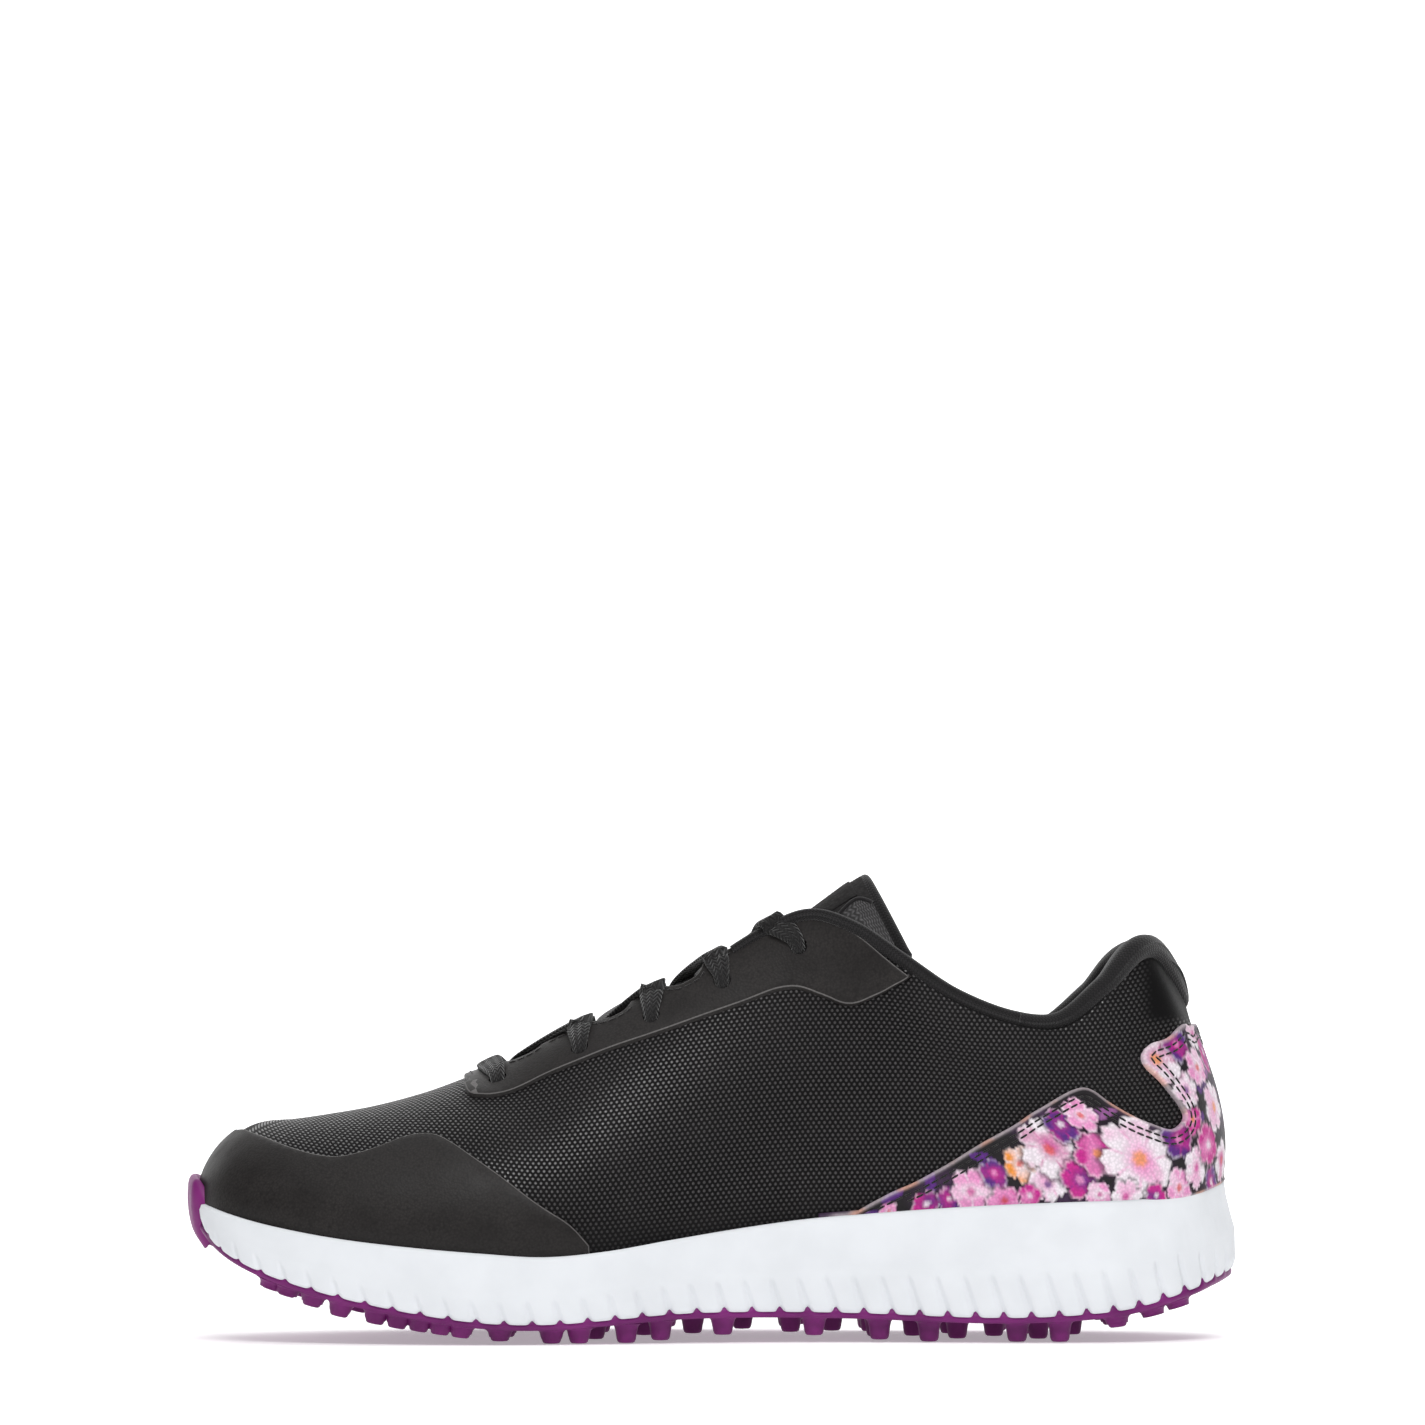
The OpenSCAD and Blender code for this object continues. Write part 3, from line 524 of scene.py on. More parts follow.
def printed():
    """Leather under the print: the flowers come from the mesh's own colours, the grain from here."""
    s = Shader("floral_leather")
    ink = s.node("ShaderNodeAttribute", attribute_name="print").outputs["Color"]
    p = s.place()
    fine = s.cells(p, 1.3)
    s.set(base_color=s.mix(s.spread(fine, 0.2, 0.75, 0.0, 0.25), ink, s.mix(0.75, ink, (0.01, 0.008, 0.01, 1))),
          roughness=s.spread(s.noise(p, 0.4, 3), 0.3, 0.7, 0.42, 0.52))
    s.bump(s.math("ADD", fine, s.math("MULTIPLY", s.noise(p, 3, 2), 0.5)), 0.5, 0.08)
    return s.mat


UPPER = embossed()
OVERLAY = leather("overlay_leather", rgb(24, 22, 22), rgb(50, 47, 46), 1.6, 0.5)
# Painted highlight: the rolled edge band of the overlays is coloured light grey where the cut edge catches the light
EDGE_HIGHLIGHT = leather("overlay_painted_edge_highlight", rgb(84, 82, 82), rgb(112, 110, 108), 1.6, 0.6)
FLORAL = printed()
MIDSOLE = moulded("midsole_foam", rgb(222, 225, 229), rgb(227, 230, 234), 0.6)
RUBBER = moulded("lug_rubber", rgb(100, 28, 92), rgb(122, 38, 112), 0.42)
BUMPER = moulded("bumper_rubber", rgb(112, 34, 102), rgb(130, 44, 118), 0.42)
KNIT = fabric("collar_knit", rgb(14, 13, 14), rgb(46, 44, 46), 0.9, 0.6)
LINING = fabric("lining_fabric", rgb(26, 24, 26), rgb(60, 57, 60), 1.4, 1.1)
MESH = fabric("tongue_mesh", rgb(26, 25, 26), rgb(110, 108, 110), 1.0, 0.8, 0.55, 0.2)
FOOTBED = fabric("footbed_fabric", rgb(30, 27, 30), rgb(72, 66, 72), 0.8, 0.8)
TONGUE_CLOTH = leather("tongue_fabric", rgb(20, 19, 20), rgb(52, 50, 50), 1.1, 0.75, 0.15)
LACE = woven_lace()
THREAD = fabric("thread", rgb(14, 13, 14), rgb(66, 62, 62), 0.5, 0.5, 0.6, 0.05, use_uv=False)
STIFFENER = moulded("stiffener", rgb(196, 186, 160), rgb(214, 204, 180), 0.6)
BOARD = leather("board", rgb(186, 170, 140), rgb(206, 190, 160), 0.8, 0.8)
FOAM = leather("padding", rgb(206, 200, 150), rgb(226, 220, 176), 0.9, 0.9, 0.2)
AGLET = moulded("aglet_plastic", rgb(20, 20, 21), rgb(34, 34, 35), 0.25)

# ---------------------------------------------------------------- thickness of the layers, as in the CAD
SHELL_T, OVERLAY_T, LINING_T, GAP, FIT = 1.2, 0.9, 1.0, 0.25, 0.1
STIFF_D = SHELL_T + FIT
LINING_D = STIFF_D + 1.0 + FIT


def pad(t, v):
    """Padding behind the collar lining."""
    return 3.4 * np.interp(v, [0.45, 0.6, 0.7, 0.85, 1], [0, 0.8, 1, 1, 0.5]) * np.interp(t, [13.5, 15], [0, 1])


# Notches in the edge of the throat, just behind the first three laces: [column, half width, depth in mm]
NOTCHES = [(7.28, 0.34, 2.2), (8.62, 0.3, 3.6), (9.66, 0.3, 4.4)]


def throat_v(t):
    """Highest v of the upper, less than 1 in a notch."""
    t = np.asarray(t, float)
    out = np.ones_like(t)
    for at, half, deep in NOTCHES:
        u = np.clip(np.abs(t - at) / half, 0, 1)
        out = out - deep / 48.0 * (1 - u**3)
    return out


def ring_columns(lo, step):
    """Columns and sides from the medial side at lo, round the heel, to the lateral side at lo."""
    t = np.concatenate([np.arange(lo, LAST - 1e-6, step), [LAST]])
    return np.concatenate([t, t[-2::-1]]), np.concatenate([np.full(len(t), MED), np.full(len(t) - 1, LAT)])


def toe_columns(hi, step):
    t = np.concatenate([np.arange(hi, 1e-6, -step), [0.0]])
    return np.concatenate([t, t[-2::-1]]), np.concatenate([np.full(len(t), MED), np.full(len(t) - 1, LAT)])


def layer_grid(t, s, v, depth, drop=0.0):
    """Grid of points at a depth, columns t on sides s, rows v scaled up to the edge of the throat."""
    tt, vv = np.meshgrid(t, v, indexing="ij")
    ss = np.repeat(np.asarray(s)[:, None], len(v), 1)
    q = np.where(vv > 0, vv * (throat_v(tt) - drop), vv)
    d = depth(tt, q) if callable(depth) else depth
    return last(tt, ss, q, d)


def side_uv(p):
    """u along the shoe, v up along each column, in millimetres, for a grid and its inner copy."""
    v = np.moveaxis(arc_along(np.moveaxis(p, 1, 0)), 0, 1)
    one = np.stack([p[..., 0], v], -1).reshape(-1, 2)
    return np.vstack([one, one])


# ---------------------------------------------------------------- upper shell, linings and padding
ROWS = np.concatenate([[-0.1, -0.05], np.linspace(0, 1, 54)])
t_all, s_all = ring_columns(0.0, 0.05)
t_all, s_all = t_all[:-1], s_all[:-1]
shell_out = layer_grid(t_all, s_all, ROWS, 0.0, 0.006)
shell_in = layer_grid(t_all, s_all, ROWS, SHELL_T, 0.006)
EYELETS, EYELET_V, EYELET_R = [6.5, 8, 9.05, 10.1, 11.5], 0.8, 2.3

verts, faces = slab(shell_out, shell_in, around=True)
put_mesh("upper_shell_skin", verts, faces, UPPER, "shoe", ["upper_shell"],
         uv=side_uv(shell_out), merge=0.02)

LINING_ROWS = np.concatenate([[-0.1], np.linspace(0, 1, 34)])


def lining(name, t, s, node):
    outer = layer_grid(t, s, LINING_ROWS, lambda a, b: LINING_D + pad(a, b), 0.012)
    inner = layer_grid(t, s, LINING_ROWS, lambda a, b: LINING_D + LINING_T + pad(a, b), 0.012)
    verts, faces = slab(inner, outer)
    put_mesh(name, verts, faces, LINING, "shoe", [node], uv=side_uv(inner), merge=0.02)


lining("quarter_lining_knit", *ring_columns(9.6, 0.1), "quarter_lining")
lining("vamp_lining_knit", *toe_columns(9.5, 0.1), "vamp_lining")
foam_t, foam_s = ring_columns(14.0, 0.1)
foam_rows = np.linspace(0.5, 0.9, 14)
foam_out = layer_grid(foam_t, foam_s, foam_rows, STIFF_D)
foam_in = layer_grid(foam_t, foam_s, foam_rows, lambda a, b: LINING_D + pad(a, b) - FIT)
verts, faces = slab(foam_out, foam_in)
put_mesh("collar_padding", verts, faces, FOAM, "shoe", ["collar_foam"], merge=0.02)

# ---------------------------------------------------------------- cut pieces on the upper


def tangents(kind, ab, d):
    e = 0.004
    a, b = ab[:, 0], ab[:, 1]
    pa = (chart(kind, a + e, b, d) - chart(kind, a - e, b, d)) / (2 * e)
    pb = (chart(kind, a, b + e, d) - chart(kind, a, b - e, d)) / (2 * e)
    return pa, pb


def inset_loop(kind, ab, dist):
    """The closed loop ab moved in by dist millimetres, measured on the surface."""
    p = chart(kind, ab[:, 0], ab[:, 1], 0)
    along = unit(np.roll(p, -1, 0) - np.roll(p, 1, 0))
    pa, pb = tangents(kind, ab, 0)
    left = unit(np.cross(unit(np.cross(pa, pb)), along))
    g11, g12, g22 = (pa * pa).sum(1), (pa * pb).sum(1), (pb * pb).sum(1)
    r1, r2 = (left * pa).sum(1), (left * pb).sum(1)
    det = np.maximum(g11 * g22 - g12**2, 1e-6)
    return ab + dist * np.stack([(g22 * r1 - g12 * r2) / det, (g11 * r2 - g12 * r1) / det], 1)


def loop_of(kind, ab, step):
    """A polygon in a chart, turned anticlockwise and cut into equal steps measured on the surface."""
    ab = np.asarray(ab, float)
    x, y = ab[:, 0], ab[:, 1]
    if (x * np.roll(y, -1) - np.roll(x, -1) * y).sum() < 0:
        ab = ab[::-1]
    closed = np.vstack([ab, ab[:1]])
    fine = np.vstack([closed[i] + (closed[i + 1] - closed[i]) * np.linspace(0, 1, 40, endpoint=False)[:, None]
                      for i in range(len(ab))])
    p = chart(kind, fine[:, 0], fine[:, 1], 0)
    far = arc_along(np.vstack([p, p[:1]]))
    n = int(far[-1] / step)
    at = np.linspace(0, far[-1], n, endpoint=False)
    ring = np.vstack([fine, fine[:1]])
    return np.stack([np.interp(at, far, ring[:, k]) for k in (0, 1)], 1)


def inside_polygon(points, poly):
    return np.concatenate([_inside(q, poly) for q in np.array_split(points, max(1, len(points) // 2000))])


def _inside(points, poly):
    x, y = points[:, 0][:, None], points[:, 1][:, None]
    x1, y1 = poly[:, 0][None], poly[:, 1][None]
    x2, y2 = np.roll(x1, -1, 1), np.roll(y1, -1, 1)
    cross = ((y1 > y) != (y2 > y)) & (x < (x2 - x1) * (y - y1) / np.where(y2 == y1, 1e-12, y2 - y1) + x1)
    return cross.sum(1) % 2 == 1


MM_A, MM_B = 13.0, 52.0  # rough size of one unit of t and of v, to even out the triangles


def cut_piece(name, kind, outline, profile, mat, nodes, spacing=1.3, step=0.5, holes=(), rim=None):
    """A sheet cut to an outline in a chart. profile lists (distance from the edge, height above the upper)."""
    base = loop_of(kind, outline, step)
    loops = [inset_loop(kind, base, x) if x else base for x, _ in profile]
    heights = [h for _, h in profile]
    verts = [chart(kind, q[:, 0], q[:, 1], -(GAP + h)) for q, h in zip(loops, heights)]
    flat = list(loops)
    n = len(base)
    faces = []
    for k in range(len(loops) - 1):
        for i in range(n):
            j = (i + 1) % n
            faces.append((k * n + i, k * n + j, (k + 1) * n + j, (k + 1) * n + i))
    inner = loops[-1] * [MM_A, MM_B]
    lo, hi = inner.min(0), inner.max(0)
    gx, gy = np.meshgrid(np.arange(lo[0], hi[0], spacing), np.arange(lo[1], hi[1], spacing), indexing="ij")
    gx = gx + (np.arange(gx.shape[1]) % 2 * spacing / 2)[None]
    cand = np.stack([gx.ravel(), gy.ravel()], 1)
    cand = cand[inside_polygon(cand, inner)]
    clear = [np.linalg.norm(q[:, None] - inner[None], axis=2).min(1) for q in np.array_split(cand, 40)]
    cand = cand[np.concatenate(clear) > spacing * 0.45]
    rings = []
    for h in holes:
        ring = h * [MM_A, MM_B]
        cand = cand[~inside_polygon(cand, ring)]
        rings.append(ring)
    pts = np.vstack([inner] + rings + [cand])
    edges = [(i, (i + 1) % n) for i in range(n)]
    at = n
    for ring in rings:
        m = len(ring)
        edges += [(at + i, at + (i + 1) % m) for i in range(m)]
        at += m
    out = geometry.delaunay_2d_cdt([Vector(p) for p in pts], edges, [], 0, 1e-5)
    co = np.array([list(p) for p in out[0]])
    tri = np.array([list(f) for f in out[2]])
    mid = co[tri].mean(1)
    keep = inside_polygon(mid, inner)
    for ring in rings:
        keep &= ~inside_polygon(mid, ring)
    start = sum(len(q) for q in verts)
    ab = co / [MM_A, MM_B]
    verts.append(chart(kind, ab[:, 0], ab[:, 1], -(GAP + heights[-1])))
    flat.append(ab)
    faces += [tuple(start + f) for f in tri[keep]]
    verts, flat = np.vstack(verts), np.vstack(flat)
    if kind == "heel":
        uv = np.stack([developed(flat[:, 0]), verts[:, 2]], 1)
    else:
        uv = np.stack([verts[:, 0], flat[:, 1] * MM_B], 1)
    ob = put_mesh(name, verts, faces, mat, "shoe", nodes, uv=uv, merge=0.01)
    # rim is the second material, on the rolled edge band; for the overlays it is the painted edge highlight
    if rim:
        ob.data.materials.append(rim)
        for face in ob.data.polygons[n * (len(loops) - 2) : n * (len(loops) - 1)]:
            face.material_index = 1
    return ob, base


def developed(a):
    """Distance along the side of the heel, equal to x near x = 100."""
    t = np.linspace(10, LAST, 401)
    p = last(t, MED, 0.35, 0)
    far = arc_along(p)
    far = far - np.interp(100, p[:, 0], far) + 100
    return np.interp(LAST - np.abs(a), t, far)


EDGE = [(0, -0.15), (0, 0.45), (0.12, 0.75), (0.4, 0.9)]

# Millimetres in one unit of t and of v, near enough to space the points of an outline
CHART_MM = [14, 50]


def smooth_outline(line, step):
    """A smooth curve through points (t, v), with a point every step millimetres or so."""
    path = np.stack([line[:, 0] * CHART_MM[0], line[:, 1] * CHART_MM[1], 0 * line[:, 0]], 1)
    return smooth_path(path, step)[:, :2] / CHART_MM


# toe cap
TOE_CAP = [(-126.4, 54.3), (-121.5, 53.2), (-116.5, 51.7), (-108.7, 49.1), (-102.2, 47.4), (-96, 46.6), (-90.8, 47.4),
           (-84.9, 49.1), (-79.9, 51.3), (-74.8, 52.3), (-70.5, 52.1), (-66.6, 50.4), (-59.1, 45.8), (-50.5, 39.9),
           (-42.1, 34), (-36.2, 29.8), (-31.1, 24.8)]
cap = locate(TOE_CAP)
cap = cap[cap[:, 0] > 1.0]
cap_t = np.concatenate([[0.0, 0.5], cap[:, 0]])
cap_v = np.concatenate([[0.665, 0.662], cap[:, 1]])
order = np.argsort(cap_t)
cap_curve = smooth_outline(np.stack([cap_t, cap_v], 1)[order], 1.5)
cap_side = [(t, v) for t, v in cap_curve] + [(7.75, -0.05)]
toe_outline = [(-t, v) for t, v in cap_side[::-1]] + cap_side[1:]
_, toe_loop = cut_piece("toe_cap", "toe", toe_outline, EDGE, OVERLAY, ["toe_overlay"],
                        rim=EDGE_HIGHLIGHT)

# eyestay, joined across the front of the throat
STAY_LINE = [(-64.8, 65.1), (-62.9, 62.5), (-58.8, 62), (-54.7, 62.4), (-48.8, 64.5), (-42.8, 67.5), (-34.3, 70.9),
             (-25.8, 74.3), (-17.2, 77.3), (-8.6, 80.3), (3.9, 84.5), (9.8, 86.9), (16.3, 89.2), (20.5, 89.9),
             (23.4, 89.6), (27, 88.4), (30.5, 86.9), (32.9, 85.9), (35.7, 85.6), (39.3, 86.4),
             (44, 88.8), (48.6, 91.2), (51.5, 93)]
stay = smooth_outline(locate(STAY_LINE), 1.5)
front_t = 6.32
throat_t = np.arange(front_t, 14.2, 0.04)
throat_top = np.minimum(throat_v(throat_t), np.interp(throat_t, [10.3, 10.7], [0.996, 0.96]))
throat = list(zip(throat_t, throat_top))
lower = [(5.74, 1.0), (5.76, 0.93), (5.82, 0.84)] + [tuple(p) for p in stay]
far_throat = [(t, 2 - v) for t, v in throat]
far_lower = [(t, 2 - v) for t, v in lower[:0:-1]]
stay_outline = lower[1:] + throat[::-1] + far_throat + far_lower + [lower[0]]


def eyelet_loop(t, w, n=22):
    """Circle of the eyelet radius round a point of the throat chart."""
    pa, pb = tangents("throat", np.array([[t, w]]), 0)
    g11, g12, g22 = (pa * pa).sum(), (pa * pb).sum(), (pb * pb).sum()
    e1 = unit(pa)[0]
    e2 = unit(pb[0] - e1 * (pb[0] @ e1))
    det = g11 * g22 - g12**2
    out = []
    for k in range(n):
        q = EYELET_R * (math.cos(2 * math.pi * k / n) * e1 + math.sin(2 * math.pi * k / n) * e2)
        r1, r2 = q @ pa[0], q @ pb[0]
        out.append((t + (g22 * r1 - g12 * r2) / det, w + (g11 * r2 - g12 * r1) / det))
    return np.array(out)


stay_holes = [eyelet_loop(t, w) for t in EYELETS for w in (EYELET_V, 2 - EYELET_V)]
_, stay_loop = cut_piece("eyestay_leather", "throat", stay_outline, EDGE, OVERLAY, ["eyestay"],
                         holes=stay_holes, rim=EDGE_HIGHLIGHT)

# printed heel overlay
HEEL_LINE = [(27, 29.9), (30.9, 31.1), (37, 33.5), (45.3, 37.9), (53.7, 41.6), (63.7, 47.3), (75.8, 54.3), (82.5, 58.7),
             (89.7, 62.9), (93, 64.4), (95.2, 64.6), (97.4, 63.7), (102, 60.5), (108.2, 57), (114.5, 54.4),
             (117.7, 54.1), (120.3, 55.3), (121.3, 57), (120.3, 59.4), (117.8, 63), (114.6, 66.5), (111.6, 69.4),
             (110.3, 71.8), (110.7, 73.6), (112.7, 75.7), (118.2, 77.9), (124, 79.6)]
heel = locate(HEEL_LINE)
heel = smooth_outline(heel, 1.2)
heel_half = [(-(LAST - t), v) for t, v in heel]
heel_outline = [(-(LAST - heel[0, 0]), -0.05)] + heel_half + [(-0.25, 0.845), (0, 0.85), (0.25, 0.845)]
heel_outline += [(-a, v) for a, v in heel_half[::-1]] + [(LAST - heel[0, 0], -0.05)]
BEAD = [(0, -0.15), (0, 0.5), (0.12, 0.95), (0.5, 1.2), (0.95, 1.2), (1.35, 0.95), (1.6, 0.85)]
heel_piece, heel_loop = cut_piece("heel_print", "heel", heel_outline, BEAD, FLORAL,
                                  ["heel_overlay"], spacing=0.55, step=0.45)
me = heel_piece.data
count = len(me.vertices)
co = np.zeros(count * 3)
me.vertices.foreach_get("co", co)
co = co.reshape(-1, 3) / MM
uv_now, index = np.zeros(len(me.loops) * 2), np.zeros(len(me.loops), int)
me.uv_layers[0].data.foreach_get("uv", uv_now)
me.loops.foreach_get("vertex_index", index)
place = np.zeros((count, 2))
place[index] = uv_now.reshape(-1, 2)
ink = flower_print(place[:, 0], place[:, 1])
rim_points = chart("heel", heel_loop[:, 0], heel_loop[:, 1], -GAP)
rim_far = np.concatenate([np.linalg.norm(q[:, None] - rim_points[None], axis=2).min(1)
                          for q in np.array_split(co, 60)])
edge_ink = paint(ink, np.full(count, 0.55), rgb(214, 200, 206))
edge_ink = paint(edge_ink, step_up(wobble(place[:, 0], place[:, 1], 1.9, 2.7), 0.1, 0.6) * 0.5, rgb(226, 150, 110))
ink = ink + (edge_ink - ink) * step_up(-rim_far, -1.6, -1.2)[:, None]
me.color_attributes.new("print", "FLOAT_COLOR", "POINT").data.foreach_set(
    "color", np.hstack([ink, np.ones((count, 1))]).ravel())

# ---------------------------------------------------------------- stitching
STITCH, STITCH_GAP, THREAD_R = 2.0, 0.55, 0.27


def capsule(a, b, r, out):
    """Small rounded thread from a to b."""
    d = unit(b - a)
    e1 = unit(np.cross(d, [0.3, 0.5, 0.81]))
    e2 = np.cross(d, e1)
    rings = []
    for f, k in ((0, 0.35), (0.1, 0.85), (0.3, 1), (0.7, 1), (0.9, 0.85), (1, 0.35)):
        c = a + (b - a) * f
        rings.append([c + (e1 * math.cos(q) + e2 * math.sin(q)) * r * k for q in np.arange(6) * math.pi / 3])
    out.append(np.array(rings))


def sew(name, kind, loop, dist, height, skip=None, pitch=STITCH + STITCH_GAP):
    """A row of stitches, dist millimetres in from a piece's edge."""
    line = inset_loop(kind, loop, dist)
    p = chart(kind, line[:, 0], line[:, 1], -(GAP + height))
    rim = chart(kind, loop[:, 0], loop[:, 1], -(GAP + height))
    good = np.array([np.min(np.linalg.norm(rim - q, axis=1)) for q in p]) > dist * 0.93
    if skip is not None:
        good &= ~skip(loop)
    far = arc_along(p)
    threads = []
    for start in np.arange(0, far[-1] - STITCH, pitch):
        ends = [np.array([np.interp(start + q, far, p[:, k]) for k in range(3)]) for q in (0, STITCH)]
        i, j = np.searchsorted(far, start), np.searchsorted(far, start + STITCH)
        if good[min(i, len(p) - 1)] and good[min(j, len(p) - 1)] and np.linalg.norm(ends[1] - ends[0]) > 0.8 * STITCH:
            capsule(ends[0], ends[1], THREAD_R, threads)
    verts, faces = [], []
    for rings in threads:
        v, f = sweep(rings)
        faces += [tuple(np.array(q) + len(verts) * len(v)) for q in f]
        verts.append(v)
    put_mesh(name, np.vstack(verts), faces, THREAD, "shoe")


def below(line):
    """Points of an edge that are set into the midsole."""
    return line[:, 1] < 0.0


def away_from_throat(line):
    up = np.where(line[:, 1] > 1, 2 - line[:, 1], line[:, 1])
    return (up < 0.88) | (line[:, 0] > 10.4)


sew("heel_stitch_outer", "heel", heel_loop, 2.3, 0.9, below)
sew("heel_stitch_inner", "heel", heel_loop, 3.8, 0.9, below)
sew("eyestay_stitch", "throat", stay_loop, 1.7, 0.9, away_from_throat)

# ---------------------------------------------------------------- midsole
SCALLOP, GROOVE_LEAN = 7.1, 0.30
around_t, around_s = ring_columns(0.0, 0.02)
around_t, around_s = around_t[:-1], around_s[:-1]
sole_line = edge(around_t, around_s, 0.0)
sole_arc = arc_along(np.vstack([sole_line, sole_line[:1]]))
SOLE_N = 1500
at = np.linspace(0, sole_arc[-1], SOLE_N, endpoint=False)
signed = np.where(around_s < 0, around_t, 2 * LAST - around_t)
sole_pos = np.interp(at, sole_arc, np.append(signed, 2 * LAST))
sole_t = np.where(sole_pos <= LAST, sole_pos, 2 * LAST - sole_pos)
sole_s = np.where(sole_pos <= LAST, MED, LAT)
scallops = round(sole_arc[-1] / SCALLOP)
pitch = sole_arc[-1] / scallops
rail_now = rail(sole_t, sole_s)
z_under, z_seam = rail_now[:, 2] - np.interp(sole_t, [18, 19, 20], [0, 0.8, 2.6]), rail_now[:, 3]
groove_h = np.interp(sole_t, [0, 3, 5, 10, 15, 18, 19, 20], [4, 5, 5.5, 9, 12, 11, 8, 5])


def from_groove(height):
    """Distance from the nearest groove between scallops, at a height above the sole's underside."""
    lean = np.where(sole_s < 0, 1.0, -1.0) * GROOVE_LEAN
    f = (at + lean * height) / pitch % 1.0
    return np.minimum(f, 1 - f) * pitch


groove_depth = np.interp(sole_t, [0, 2, 5, 9, 14, 20], [0.15, 0.45, 0.65, 0.9, 1.0, 1.0])
low = from_groove(0 * at)
bow = groove_depth * (0.5 * ((pitch / 2 - low) / (pitch / 2)) ** 4 + 0.7 * np.exp(-((low / 0.7) ** 2)))
z_low = z_under + 0.1 + bow
heel_w = np.interp(sole_t, [16, 19], [0, 1])
toe_w = np.interp(sole_t, [0.6, 2.5], [1, 0])
wall = []
WALL_ROWS = 40
for k in range(WALL_ROWS + 1):
    f = k / WALL_ROWS
    z = z_low + (z_seam - z_low) * f
    h = z - z_under
    dist = from_groove(h)
    opening = np.clip((groove_h - h) / 2.0, 0, 1)
    shut = np.clip(h / groove_h, 0, 1)
    narrow = 0.3 + 0.75 * (1 - shut)
    cut = opening * groove_depth * ((1.1 - 0.5 * shut) * np.exp(-((dist / narrow) ** 2))
                                  + 0.15 * ((pitch / 2 - dist) / (pitch / 2)) ** 2)
    ledge = 0.5 * np.clip((h - groove_h + 1.0) / 2.0, 0, 1) * np.interp(sole_t, [7, 10], [0.4, 1])
    heel_cut = np.interp(f, [0, 0.12, 0.45, 0.62, 0.8, 0.93, 1], [1.0, 0.1, 0.2, 1.3, 2.3, 2.7, 3.0])
    toe_cut = np.interp(f, [0, 0.3, 0.7, 1], [3.4, 2.6, 2.2, 2.6])
    plain = 0.5 * (1 - np.sin(math.pi * np.clip(0.15 + 0.8 * f, 0, 1))) + ledge
    inset = plain * (1 - heel_w) * (1 - toe_w) + heel_cut * heel_w + toe_cut * toe_w + cut
    inset = inset + 0.9 * max(0.0, (f - 0.94) / 0.06) ** 2 + 0.5 * max(0.0, (0.05 - f) / 0.05) ** 2
    wall.append(edge(sole_t, sole_s, inset) + UP * z[:, None])
rim = [edge(sole_t, sole_s, np.full(SOLE_N, x) + 2.4 * toe_w + 2 * heel_w * (x < 3)) + UP * (z_seam - dz)[:, None]
       for x, dz in ((1.7, -0.05), (2.8, 0.1), (3.9, 0.25), (4.6, 0.5))]
floor_rows = [edge(sole_t, sole_s, np.full(SOLE_N, x)) + UP * (z_low + dz)[:, None] for x, dz in ((9.0, 0.6), (4.0, 0.3))]
seat = [edge(sole_t, sole_s, np.full(SOLE_N, x)) + UP * (z_seam - dz)[:, None] for x, dz in ((5.0, 2.6), (9.0, 2.8))]
profile = np.stack(wall + rim + seat + floor_rows, 1)
uv_u = np.repeat(at[:, None], profile.shape[1], 1)
uv_v = np.moveaxis(arc_along(np.moveaxis(profile, 1, 0)), 0, 1)
put_mesh("midsole_foam_body", profile.reshape(-1, 3), grid_faces(SOLE_N, profile.shape[1], True, True), MIDSOLE,
         "shoe", ["midsole"], uv=np.stack([uv_u, uv_v], -1).reshape(-1, 2), merge=0.001)

# ---------------------------------------------------------------- outsole: plate, pointed rim, lugs and bumper
PLATE_T = 1.4


def plate_grid(rows, inset, z_of):
    """Grid across the sole between the two outlines, from toe to heel."""
    t = np.linspace(0.35, LAST - 0.3, rows)
    a, b = edge(t, MED, inset + 0 * t), edge(t, LAT, inset + 0 * t)
    f = np.linspace(0, 1, 41)[None, :, None]
    p = a[:, None] * (1 - f) + b[:, None] * f
    return p + UP * z_of(t)[:, None, None]


def under(t):
    return rail(t, MED)[..., 2]


plate_top = plate_grid(260, 2.2, lambda t: under(t) + 0.3)
plate_bottom = plate_grid(260, 2.2, lambda t: under(t) - PLATE_T)
verts, faces = slab(plate_bottom, plate_top)
put_mesh("outsole_plate", verts, faces, RUBBER, "shoe", merge=0.001)
tip = 1.7 * np.exp(-((low / 1.0) ** 2))
rim_rows = []
for x, z in ((2.6, z_under - PLATE_T), (1.5, z_under - PLATE_T + 0.1), (1.2, z_under - 0.7), (1.15, z_under + 0.1),
             (1.2 + 0.35, z_under + 0.35 + tip), (2.6, z_under + 0.5 + tip * 0.6)):
    rim_rows.append(edge(sole_t, sole_s, np.full(SOLE_N, x) + 1.9 * toe_w) + UP * z[:, None])
rim_grid = np.stack(rim_rows, 1)
put_mesh("outsole_rim", rim_grid.reshape(-1, 3), grid_faces(SOLE_N, rim_grid.shape[1], True, True), RUBBER,
         "shoe", merge=0.001)
TIP_X = [-115, -95, -80, -63, -46, -19, 0, 28, 49, 93, 104, 124]
TIP_Z = [14.5, 7, 4, 1.5, 0, 0, 1.8, 1.5, 0, 0, 4, 10]
EDGE_LUGS = [2.9, 3.2, 3.6, 4, 4.5, 4.8, 5.1, 5.4, 5.7, 6.3, 7.15, 7.6, 8.35, 8.85, 9.75, 11.15, 12.3, 13.2, 14.8,
             15.6, 16.8, 17.6, 18.3]
INNER_LUGS = [3.3 + 0.75 * k for k in range(20)]
LUG_PROFILE = [(4.4, 0.0), (3.5, 0.3), (3.05, 0.8), (2.75, 2.0), (2.45, -1.0), (2.2, -0.35), (1.8, -0.06), (1.0, 0.0)]
# Rings of a lug wider than this are placed down from the plate, and narrower ones back from the tip
LUG_ROOT_R = 2.7
lug_verts, lug_faces = [], []
line_t = np.linspace(0, LAST, 400)
line_x, line_z = rail(line_t, MED)[:, 0], under(line_t)


